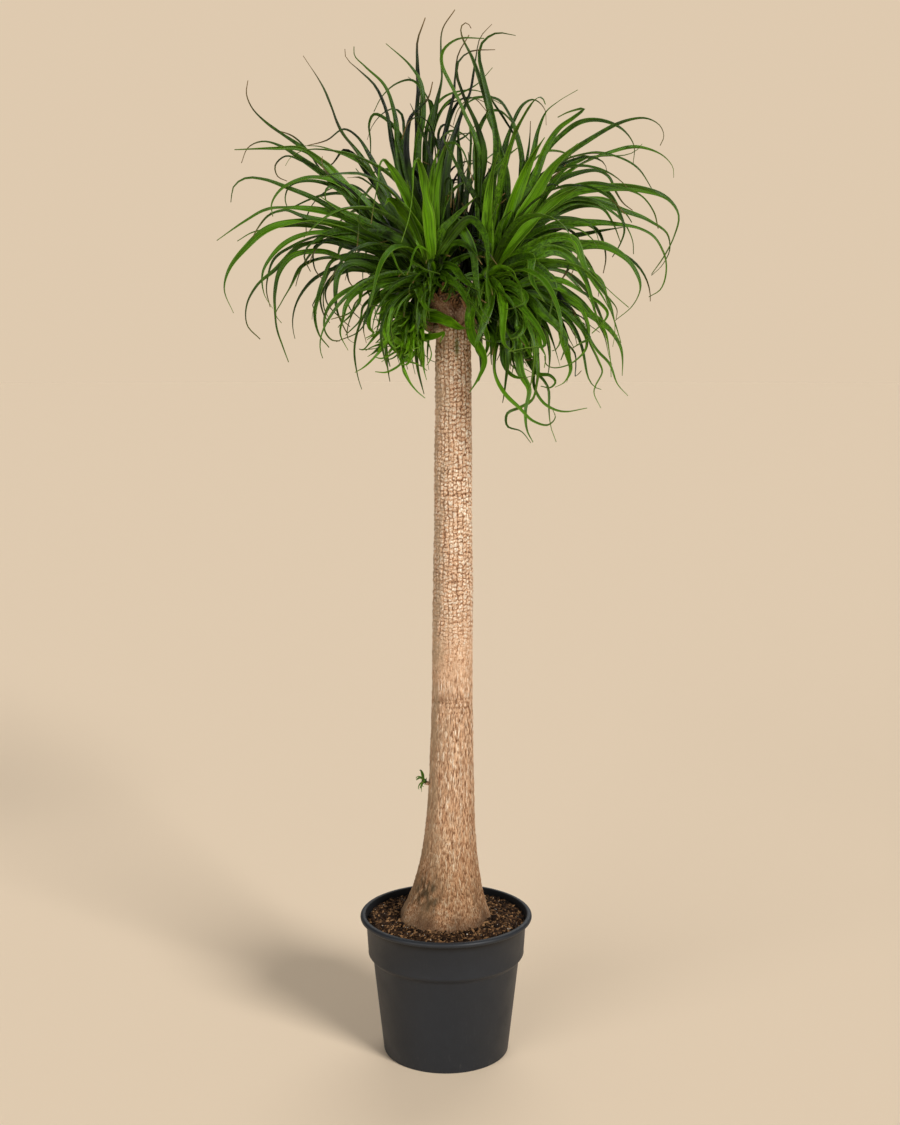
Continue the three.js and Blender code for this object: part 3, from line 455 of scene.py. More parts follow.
def bark_material():
    """Corky flakes on the upper trunk, which run out into long fibres lower down."""
    material, tree, shader = new_material("corky bark")
    fibrous = attribute(tree, "fibrous")

    cells = {"Vector": warped(tree, object_spot(tree, (1, 1, 0.85)), 150, 0.006), "Scale": 230.0}
    edge = add_node(tree, "ShaderNodeTexVoronoi", cells, feature="DISTANCE_TO_EDGE").outputs["Distance"]
    tone = add_node(tree, "ShaderNodeTexVoronoi", cells).outputs["Color"]
    tone = add_node(tree, "ShaderNodeSeparateColor", {"Color": tone}).outputs["Red"]
    corky = times(tree, range_of(tree, edge, 0.0, 0.16, 0, 1), range_of(tree, tone, 0, 1, 0.55, 1.15))

    grain = warped(tree, object_spot(tree, (1, 1, 0.1)), 90, 0.003)
    fibres = range_of(tree, noise_of(tree, grain, 680, 4, 0.6), 0.38, 0.55, 0.0, 1.0)
    strands = range_of(tree, noise_of(tree, grain, 260, 3, 0.6), 0.36, 0.64, 0.45, 1)
    fine = mix_values(tree, fibrous, corky, times(tree, fibres, strands))
    fine_share = range_of(tree, fibrous, 0, 1, 0.28, 0.66)
    surface = range_of(tree, mix_values(tree, fine_share, attribute(tree, "plate"), fine), 0.1, 0.87, 0, 1)

    color = ramp(tree, surface, [
        (0.0, (94, 60, 38)), (0.22, (162, 118, 84)), (0.45, (218, 175, 139)), (0.72, (243, 209, 176)),
        (1.0, (255, 244, 224)),
    ])
    color = mottled(tree, color, (194, 152, 120), 18, 0.35, (1, 1, 0.4))
    specks = noise_of(tree, object_spot(tree, (1, 1, 0.5)), 620, 3, 0.65)
    color = mix_colors(tree, range_of(tree, specks, 0.6, 0.7, 0, 0.5), color, paint(98, 70, 50))
    for layer, tint, blend in BARK_TINTS:
        color = mix_colors(tree, attribute(tree, layer), color, paint(*tint), blend)
    set_surface(tree, shader, color, 0.9, 0.2)
    bump(tree, shader, math_node(tree, "ADD", fine, times(tree, specks, 0.3)), 0.9, 0.0016)
    return material


def leaf_material(name, young, grown, shaded, root, dry, roughness_gain=0.0):
    material, tree, shader = new_material(name)
    look = use_group(tree, BLADE, {
        "Blade": add_node(tree, "ShaderNodeUVMap", uv_map="blade").outputs["UV"],
        "Youth": attribute(tree, "youth"), "Tint": attribute(tree, "tint"), "Young": paint(*young),
        "Grown": paint(*grown), "Shaded": paint(*shaded), "Root": paint(*root), "Dry": paint(*dry),
    })
    roughness = math_node(tree, "ADD", look["Roughness"], roughness_gain)
    set_surface(tree, shader, look["Color"], roughness, 0.26)
    bump(tree, shader, look["Height"], 0.5, 0.0007)
    return material


POT_PLASTIC = pot_plastic()
SOIL = soil_material()
BARK = bark_material()
STRAP_LEAF = leaf_material(
    "strap leaf", (106, 160, 14), (58, 96, 10), (2, 7, 0), (128, 160, 46), (112, 88, 48),
)
DRY_SHEATH = leaf_material(
    "dry leaf sheath", (182, 140, 98), (138, 98, 64), (72, 48, 32), (150, 114, 76), (84, 60, 40), 0.4,
)

# ---------- Pot ----------


def pot_inside():
    return [
        (0, POT_FLOOR),
        (BASE_RADIUS - POT_WALL - 4, POT_FLOOR),
        *arc((BASE_RADIUS - POT_WALL - 4, POT_FLOOR + 4), 4, -90, 0, 4)[1:],
        (BODY_TOP_RADIUS - POT_WALL, SHOULDER_BOTTOM + 1),
        (BAND_BOTTOM_RADIUS - POT_WALL - 2, SHOULDER_TOP - 2),
        (BAND_BOTTOM_RADIUS - POT_WALL, SHOULDER_TOP + 2),
        (BAND_TOP_RADIUS - POT_WALL, POT_HEIGHT - RIM_DEPTH),
    ]


def shoulder():
    """The soft step between the pot's body and the band under its rim."""
    return [
        (
            between(BODY_TOP_RADIUS, BAND_BOTTOM_RADIUS, ease(0, 1, i / 9)),
            between(SHOULDER_BOTTOM - 0.5, SHOULDER_TOP - 0.5, i / 9),
        )
        for i in range(10)
    ]


def drain_drills():
    """Short rods that cut the drain holes."""
    bm = bmesh.new()
    radius, circle = DRAIN_RADIUS * MM, DRAIN_CIRCLE * MM
    for i in range(DRAIN_HOLES):
        angle = (i + 0.5) / DRAIN_HOLES * TURN
        place = Matrix.Translation((circle * math.cos(angle), circle * math.sin(angle), 0))
        bmesh.ops.create_cone(
            bm, cap_ends=True, segments=28, radius1=radius, radius2=radius, depth=POT_FLOOR * 4 * MM,
            matrix=place,
        )
    mesh = bpy.data.meshes.new("drain_drills")
    bm.to_mesh(mesh)
    bm.free()
    drills = bpy.data.objects.new("drain_drills", mesh)
    bpy.context.scene.collection.objects.link(drills)
    return drills


# The rounded inner edge of the rim: radius, and how far it is below the top.
INNER_LIP = [(146.6, 0), (145.2, 0.5), (144.4, 1.8), (143.4, 6)]


def make_pot():
    bead = RIM_DEPTH / 2 - 0.2
    under_rim = POT_HEIGHT - RIM_DEPTH
    foot = BASE_RADIUS - FOOT_ROUNDING
    outside = [
        (0, 0),
        (foot - 12, 0),
        (foot, 0),
        *arc((foot, FOOT_ROUNDING), FOOT_ROUNDING, -90, -8, 5)[1:],
        (between(BASE_RADIUS, BODY_TOP_RADIUS, 0.5), SHOULDER_BOTTOM * 0.5),
        *shoulder(),
        (BAND_BOTTOM_RADIUS - 0.2, SHOULDER_TOP + 2),
        (BAND_TOP_RADIUS - 0.6, under_rim - 2),
        (BAND_TOP_RADIUS + 0.8, under_rim + 0.4),
        (RIM_RADIUS - bead - 1.5, under_rim + 0.4),
        *arc((RIM_RADIUS - bead, POT_HEIGHT - bead), bead, -90, 90, 10),
        *((radius, POT_HEIGHT - down) for radius, down in INNER_LIP),
    ]
    bm = turn_profile([*outside, *reversed(pot_inside())], POT_STEPS)
    pot = finish_piece(bm, "nursery_pot", POT_PLASTIC, ["pot"])
    drills = drain_drills()
    cut = pot.modifiers.new("drain_holes", "BOOLEAN")
    cut.object, cut.operation, cut.solver = drills, "DIFFERENCE", "EXACT"
    bpy.context.view_layer.update()
    shown = bpy.context.evaluated_depsgraph_get()
    drilled = bpy.data.meshes.new_from_object(pot.evaluated_get(shown))
    pot.modifiers.clear()
    pot.data = drilled
    bpy.data.objects.remove(drills)


# ---------- Trunk ----------


def trunk_radius(z):
    flare = FLARE * math.exp(-max(0, z - SOIL_LINE) / FLARE_REACH)
    return TOP_RADIUS + TRUNK_TAPER * (TOP_OF_TAPER - z) + flare


def trunk_middle(z):
    return LEAN - LEAN_BACK * math.exp(-max(0, z - SOIL_LINE) / LEAN_REACH)


def root_stock(clearance):
    neck = trunk_radius(SOIL_LINE) + FLUTE_HEIGHT + clearance
    return [
        (0, SOIL_LINE - ROOT_DEPTH - clearance),
        (neck * 0.34, SOIL_LINE - ROOT_DEPTH * 0.97 - clearance),
        (neck * 0.72, SOIL_LINE - ROOT_DEPTH * 0.8),
        (neck * 0.93, SOIL_LINE - ROOT_DEPTH * 0.52),
        (neck, SOIL_LINE - ROOT_DEPTH * 0.22),
    ]


KNOT = dict(angle=math.radians(-47), height=668, wide=6.5, tall=12)
KNOB = dict(angle=math.radians(206), height=1287, size=11, out=9)
# Level wrinkles in the bark: height, the way the middle of each faces, how far round it goes, depth.
WRINKLES = [
    (626, -100, 70, 0.8), (637, -60, 55, 1.3), (645, -110, 60, 1.4), (652, -75, 50, 1.0),
    (1011, -80, 45, 0.7), (860, -100, 50, 0.6), (633, 80, 80, 1.2), (648, 120, 60, 1.0), (1150, 100, 60, 0.7),
]
# Soft spots on the bark: the way each faces, its height, its width as an angle, how tall it is, how strong.
STAINS = [(-128, 305, 0.62, 34, 1.25), (-40, 292, 0.3, 26, 0.5)]
MOSS = [(-78, 1262, 0.12, 16, 1.2)]
SHADOW_SIDE = math.radians(-165)  # the side painted greyer and darker: partly weathering, partly painted shade
BARK_LAYERS = ("plate", "fibrous", "weathering_and_side_shade", "lowdown", "stain", "moss", "scaly")
PLATE_RELIEF = 3.0
CRUMBLE_RELIEF = 0.8
FIBRE_RELIEF = 1.2
MEAN_BARK = 1.1  # the middle height of the relief, so that the bark keeps the trunk's radius


def turned_from(angle, middle):
    """How far an angle is from another, the short way round."""
    return (angle - middle + math.pi) % TURN - math.pi


def blots(spots, angle, z):
    return sum(
        strength * bell(turned_from(angle, math.radians(facing)), wide) * bell(z - height, tall)
        for facing, height, wide, tall, strength in spots
    )


def busy(angle, z, first, second, share):
    """Coarse noise with a share of finer noise on it, each as (knots, grain, seed)."""
    return round_noise(angle, z, *first) + share * round_noise(angle, z, *second)


def bark(angle, z):
    """The bark's height over the mean surface, how pale a plate's top is there with painted highlights on
    plate rims and the knot's lip and painted shade in the wrinkles and the knot's hollow, and how fibrous it
    is.
    """
    pitch = TURN * trunk_radius(z) / FISSURES
    lower = ease(PLATES_END + 70, PLATES_END - 120, z)
    flared = math.exp(-max(0, z - SOIL_LINE) / (FLARE_REACH * 0.8))
    column = (
        angle / TURN * FISSURES
        + 0.55 * round_noise(angle, z, 1.6, 70, 1)
        + 0.32 * round_noise(angle, z, 6, 11, 2)
    )
    side = min(column % 1, 1 - column % 1) * pitch
    number = math.floor(column) % FISSURES
    row = z / PLATE_HEIGHT + chance(number, 3) + 0.6 * round_noise(angle, z, 4, 14, 3 + number)
    end = min(row % 1, 1 - row % 1) * PLATE_HEIGHT
    plate = number * 31 + math.floor(row)
    upright = ease(0.1, 1.5, side) if chance(plate, 12) < 0.86 else 1
    level = ease(0.1, 2.0, end) if chance(plate, 11) < 0.88 else 1
    crack = between(0.08, 1, upright) * between(0.12, 1, level)
    # Painted highlight: a lighter band along the rims of the plates.
    rim = bell(min(side, end) - 2.1, 0.8) * crack
    swell = between(0.45, 1, chance(plate, 5))
    strand = busy(angle, z, (13, 9, 5), (25, 5, 6), 0.6)
    crumbly = busy(angle, z, (12, 4, 7), (24, 3, 9), 0.5)
    plates = PLATE_RELIEF * crack * swell + CRUMBLE_RELIEF * crumbly
    height = between(plates, MEAN_BARK + FIBRE_RELIEF * strand, lower)
    tone = between(0.45, 0.9, chance(plate, 8))
    shade = between(crack * tone + 0.28 * rim + 0.3 * crumbly, 0.5 + 0.75 * strand, lower)

    flutes = FLUTE_HEIGHT * math.cos(FLUTES * angle + 1.1 * math.sin(2 * angle))
    height += flared * (flutes - FLUTE_HEIGHT * 0.4) + 1.4 * round_noise(angle, z, 1.2, 120, 8)
    for place, middle, spread, depth in WRINKLES:
        drift = place + 3.2 * round_noise(angle, place, 2.0, 30, place)
        around = math.exp(-((turned_from(angle, math.radians(middle)) / math.radians(spread)) ** 4))
        dent = bell(z - drift, 1.5) * around
        height -= depth * 1.3 * dent
        # Painted shade: the bark is darker along each wrinkle's dent.
        shade -= 1.1 * dent * min(1, depth)

    across = trunk_radius(z) * turned_from(angle, KNOT["angle"]) / KNOT["wide"]
    away = math.hypot(across, (z - KNOT["height"]) / KNOT["tall"])
    if away < 2:
        lip = bell(away - 1, 0.3)
        height = between(height, 0.8, max(0, 1 - away * 0.7)) + 1.2 * lip - 2.2 * max(0, 1 - away)
        # Painted highlight on the knot's raised lip, painted shade in its hollow.
        shade = between(shade, 0.75, max(0, 1 - away * 0.6)) + 0.2 * lip - 1.1 * max(0, 1 - away / 0.34)
    return height, clamp(shade), lower


def make_trunk():
    rows = int((TRUNK_TOP - SOIL_LINE) / TRUNK_ROW)
    heights = [between(SOIL_LINE - 14, TRUNK_TOP, i / rows) for i in range(rows + 1)]
    profile = [*root_stock(0), *((trunk_radius(z), z) for z in heights)]
    profile += [(TOP_RADIUS * 0.72, TRUNK_TOP + 10), (0, TRUNK_TOP + 15)]
    bm = turn_profile(profile, TRUNK_STEPS)
    layers = {name: bm.verts.layers.float.new(name) for name in BARK_LAYERS}
    for vert in bm.verts:
        z = vert.co.z / MM
        radius = math.hypot(vert.co.x, vert.co.y) / MM
        angle = math.atan2(vert.co.y, vert.co.x)
        height, vert[layers["plate"]], vert[layers["fibrous"]] = bark(angle, z)
        wanted = ease(SOIL_LINE - 20, SOIL_LINE - 8, z) * ease(TRUNK_TOP + 12, TRUNK_TOP - 4, z)
        across = trunk_radius(z) * turned_from(angle, KNOB["angle"])
        knob = math.hypot(across / KNOB["size"], (z - KNOB["height"]) / KNOB["size"])
        radius += (height - MEAN_BARK) * wanted + KNOB["out"] * ease(1.25, 0.75, knob)
        vert.co = ((trunk_middle(z) + radius * math.cos(angle)) * MM, radius * math.sin(angle) * MM, z * MM)

        splash = ease(SOIL_LINE + 34, SOIL_LINE - 2, z + 22 * round_noise(angle, z, 2.5, 30, 21))
        dry_top = 0.6 * ease(1288, 1314, z + 14 * round_noise(angle, z, 3, 20, 23)) * (knob > 1)
        ragged = 0.55 + 0.9 * round_noise(angle, z, 9, 14, 22)
        blotch = 0.5 + 1.1 * round_noise(angle, z, 2.5, 45, 24)
        # Partly weathering, partly painted shade: one side of the trunk is greyer and darker, in uneven
        # patches.
        shadow_side = bell(turned_from(angle, SHADOW_SIDE), 0.9)
        vert[layers["stain"]] = clamp(blots(STAINS, angle, z) * ragged, 0, 0.85)
        vert[layers["lowdown"]] = 0.3 * ease(720, 520, z) + 0.42 * ease(510, 290, z)
        vert[layers["moss"]] = min(0.8, blots(MOSS, angle, z))
        vert[layers["scaly"]] = max(dry_top, 0.8 * splash)
        vert[layers["weathering_and_side_shade"]] = clamp(shadow_side * blotch * 1.1, 0, 0.75)
    for rosette in ROSETTES:
        grow_branch(bm, rosette, layers)
    finish_piece(bm, "trunk_wood", BARK, ["trunk"])


BRANCH_RINGS = (0, 0.25, 0.45, 0.65, 0.8, 0.92, 1)  # shares of the way from the trunk to the rosette


def upright(place, axis):
    """Sets a shape that stands on Z at a place, in millimetres, along an axis."""
    return Matrix.Translation(place * MM) @ axis.to_track_quat("Z", "Y").to_matrix().to_4x4()


def grow_branch(bm, rosette, layers):
    """The short woody branch under a rosette."""
    crown, base, foot = rosette["crown"], fork_of(rosette), beside_trunk(rosette)
    way = foot - base
    loops = []
    for share in BRANCH_RINGS:
        axis = way.normalized().lerp(rosette_axis(rosette), share).normalized()
        place = upright(base + way * share, axis)
        size = crown["radius"] * between(1.4, 1, share)
        ring = bmesh.ops.create_circle(
            bm, cap_ends=share in (0, 1), segments=28, radius=size * MM, matrix=place
        )
        loops.append({edge for vert in ring["verts"] for edge in vert.link_edges})
        for vert in ring["verts"]:
            rough = 1 + 0.07 * noise.noise(vert.co / MM / 7)
            vert.co = place.translation + (vert.co - place.translation) * rough
            vert[layers["plate"]] = 0.45 + 0.4 * noise.noise(vert.co / MM / 4)
            vert[layers["scaly"]] = 0.6 if crown is not BUD_CROWN else 0.3
    before = len(bm.faces)
    for low, high in zip(loops, loops[1:]):
        bmesh.ops.bridge_loops(bm, edges=list(low | high))
    bm.faces.ensure_lookup_table()
    side = bm.faces[before:]
    caps = [face for edge in loops[0] | loops[-1] for face in edge.link_faces if face not in side]
    bmesh.ops.recalc_face_normals(bm, faces=side + caps)


# ---------- Leaves ----------


def seen(youth, near, width, turn, *spots):
    """A large leaf as it looks from the front.

    near is how far behind the trunk its tip is, turn is how far the blade is turned from the front at its
    root and its tip, and spots are (x, z) of its midrib, as they look on the plane through the trunk.
    """
    return dict(youth=youth, near=near, width=width, turn=turn, spots=spots, rows=TRACED_ROWS)


LEFT_LEAVES = [
    seen(0.3, 40, 17, (60, 20), (-80, 1425), (-140, 1487), (-190, 1550), (-250, 1600), (-300, 1634),
         (-325, 1659), (-334, 1682), (-331, 1703)),
    seen(0.3, 30, 19, (20, 125), (-72, 1445), (-108, 1525), (-148, 1588), (-176, 1624), (-190, 1660),
         (-208, 1698), (-238, 1743)),
    seen(0.35, 10, 16, (55, 30), (-75, 1415), (-130, 1475), (-190, 1537), (-240, 1573), (-275, 1595),
         (-308, 1604), (-333, 1594), (-345, 1568)),
    seen(0.5, -10, 19, (40, 0), (-70, 1418), (-120, 1475), (-165, 1528), (-205, 1567), (-245, 1591),
         (-290, 1592), (-356, 1590)),
    seen(0.3, 50, 10, (40, 40), (-85, 1435), (-150, 1503), (-205, 1550), (-233, 1590), (-257, 1612),
         (-288, 1623)),
    seen(0.2, 55, 13, (50, 30), (-62, 1440), (-98, 1520), (-128, 1580), (-150, 1613), (-172, 1624),
         (-200, 1606), (-233, 1597)),
    seen(0.35, 25, 17, (30, 80), (-68, 1440), (-105, 1525), (-140, 1566), (-165, 1580), (-192, 1590),
         (-215, 1596), (-242, 1597)),
    seen(0.25, 35, 16, (50, 40), (-80, 1425), (-150, 1503), (-200, 1547), (-240, 1571), (-270, 1580),
         (-288, 1564), (-284, 1546), (-268, 1538)),
    seen(0.45, -15, 18, (50, 30), (-72, 1412), (-120, 1488), (-165, 1528), (-210, 1545), (-250, 1541),
         (-280, 1524), (-295, 1500), (-293, 1480)),
    seen(0.3, 20, 14, (50, 40), (-75, 1410), (-135, 1495), (-188, 1530), (-235, 1539), (-264, 1530),
         (-272, 1510), (-267, 1490)),
    seen(0.25, 40, 13, (60, 30), (-65, 1420), (-112, 1498), (-160, 1532), (-195, 1527), (-222, 1505),
         (-236, 1478), (-237, 1453)),
    seen(0.4, 5, 17, (50, 40), (-82, 1420), (-140, 1467), (-200, 1488), (-260, 1495), (-300, 1493),
         (-335, 1476), (-389, 1440)),
    seen(0.45, -20, 18, (40, 20), (-80, 1408), (-130, 1448), (-190, 1468), (-240, 1480), (-273, 1491),
         (-300, 1482), (-318, 1462), (-328, 1445)),
    seen(0.45, -30, 21, (30, 60), (-75, 1402), (-130, 1450), (-190, 1469), (-245, 1474), (-303, 1459),
         (-340, 1428), (-369, 1392), (-378, 1357), (-363, 1318)),
    seen(0.4, 15, 13, (50, 40), (-72, 1398), (-130, 1440), (-200, 1460), (-255, 1466), (-305, 1459),
         (-330, 1453), (-354, 1439)),
    seen(0.35, -40, 18, (30, 50), (-70, 1390), (-125, 1430), (-185, 1451), (-235, 1452), (-270, 1438),
         (-298, 1412), (-312, 1385), (-310, 1350), (-296, 1326)),
    seen(0.4, 20, 17, (50, 50), (-68, 1388), (-120, 1421), (-170, 1443), (-220, 1448), (-262, 1430),
         (-292, 1410), (-303, 1380), (-306, 1355), (-300, 1328)),
    seen(0.55, -25, 19, (40, 50), (-72, 1372), (-112, 1388), (-160, 1406), (-215, 1423), (-260, 1415),
         (-284, 1388), (-292, 1350), (-291, 1300), (-280, 1263), (-270, 1235)),
    seen(0.4, 35, 18, (40, 70), (-70, 1370), (-120, 1395), (-175, 1412), (-215, 1411), (-245, 1397),
         (-262, 1370), (-282, 1335), (-291, 1316), (-281, 1301)),
    seen(0.4, 0, 16, (50, 50), (-72, 1385), (-130, 1425), (-200, 1440), (-250, 1430), (-290, 1392),
         (-322, 1366), (-340, 1334), (-340, 1298), (-318, 1274)),
    seen(0.3, 45, 9, (30, 40), (-75, 1378), (-120, 1388), (-165, 1391), (-190, 1379), (-205, 1358),
         (-203, 1335), (-180, 1309), (-164, 1295)),
    seen(0.45, 25, 15, (50, 20), (-68, 1378), (-110, 1404), (-165, 1415), (-195, 1406), (-208, 1378),
         (-218, 1346), (-224, 1315), (-217, 1282), (-200, 1260)),
    seen(0.3, 30, 10, (50, 20), (-70, 1392), (-115, 1420), (-165, 1431), (-205, 1437), (-223, 1430),
         (-226, 1410), (-222, 1390), (-210, 1375)),
    seen(0.3, 60, 18, (20, 50), (-55, 1450), (-68, 1530), (-80, 1600), (-88, 1660), (-104, 1697),
         (-135, 1726), (-152, 1743), (-153, 1758)),
    seen(0.2, 80, 13, (30, 30), (-50, 1450), (-62, 1560), (-78, 1615), (-103, 1642), (-121, 1648),
         (-129, 1632), (-127, 1605), (-127, 1578)),
]
FRONT_LEFT_LEAVES = [
    seen(1, -140, 21, (0, 20), (-32, 1430), (-58, 1500), (-84, 1548), (-102, 1571), (-109, 1572)),
    seen(0.9, -145, 4, (20, 20), (-32, 1430), (-58, 1500), (-84, 1548), (-103, 1574), (-111, 1566),
         (-114, 1540), (-122, 1500), (-127, 1468)),
    seen(1, -170, 19, (0, 20), (-25, 1430), (-31, 1495), (-38, 1545), (-46, 1573), (-50, 1576)),
    seen(0.9, -175, 4, (20, 20), (-25, 1430), (-31, 1495), (-38, 1545), (-49, 1573), (-55, 1560), (-57, 1520),
         (-63, 1478), (-76, 1437)),
    seen(0.9, -120, 18, (0, 20), (-25, 1440), (-27, 1500), (-22, 1560), (-12, 1590)),
    seen(1, -90, 17, (0, 10), (-22, 1440), (-18, 1510), (-10, 1568), (0, 1598), (6, 1614)),
    seen(0.5, -95, 7, (20, 40), (-22, 1440), (-18, 1510), (-10, 1568), (0, 1597), (12, 1602), (27, 1591),
         (37, 1568), (46, 1538)),
    seen(1, -150, 22, (0, 20), (-38, 1436), (-64, 1480), (-84, 1502), (-96, 1508), (-102, 1500)),
    seen(0.6, -110, 15, (0, 20), (-30, 1432), (-46, 1480), (-58, 1515), (-66, 1540)),
    seen(0.5, -110, 16, (20, 30), (-18, 1420), (-8, 1455), (14, 1478), (38, 1500), (50, 1512)),
    seen(0.45, -160, 19, (10, 20), (-8, 1430), (12, 1470), (30, 1454), (46, 1420), (50, 1388), (55, 1355),
         (62, 1325), (78, 1303)),
    seen(0.3, -230, 15, (20, 30), (5, 1440), (40, 1475), (66, 1450), (72, 1405), (70, 1365), (74, 1330)),
    seen(0.4, -60, 15, (20, 20), (-15, 1440), (-5, 1495), (11, 1522), (24, 1533), (42, 1542)),
    seen(0.65, -80, 18, (30, 30), (-45, 1372), (-100, 1372), (-148, 1366), (-184, 1347), (-207, 1317),
         (-208, 1290), (-196, 1273), (-182, 1271)),
    seen(0.6, -110, 16, (30, 60), (-45, 1368), (-98, 1368), (-145, 1358), (-168, 1337), (-176, 1310),
         (-181, 1283), (-168, 1255)),
    seen(0.5, -60, 15, (40, 50), (-42, 1362), (-85, 1360), (-120, 1348), (-142, 1330), (-149, 1305),
         (-172, 1281)),
    seen(0.5, -140, 8, (20, 20), (-45, 1380), (-105, 1378), (-143, 1357), (-148, 1336), (-165, 1318),
         (-196, 1308)),
    seen(0.7, -100, 19, (0, 20), (-38, 1392), (-50, 1378), (-46, 1355), (-40, 1338), (-31, 1325),
         (-15, 1323)),
    seen(0.35, -70, 19, (30, 10), (-60, 1425), (-100, 1455), (-140, 1474), (-180, 1492), (-215, 1515)),
    seen(0.9, -200, 4.5, (20, 20), (-60, 1425), (-93, 1430), (-88, 1410), (-80, 1392), (-70, 1382)),
    seen(0.9, -215, 4.5, (20, 20), (-30, 1420), (-46, 1430), (-56, 1417), (-61, 1395), (-66, 1383)),
    seen(0.45, -130, 15, (20, 20), (-8, 1410), (6, 1432), (24, 1436), (44, 1424), (62, 1400)),
    seen(0.5, -150, 15, (10, 20), (-6, 1398), (12, 1396), (28, 1376), (48, 1362), (66, 1352)),
    seen(0.45, -100, 16, (10, 20), (0, 1392), (22, 1408), (42, 1416), (66, 1412)),
    seen(0.4, -170, 15, (10, 30), (-12, 1385), (2, 1378), (22, 1362), (34, 1340), (40, 1320)),
]
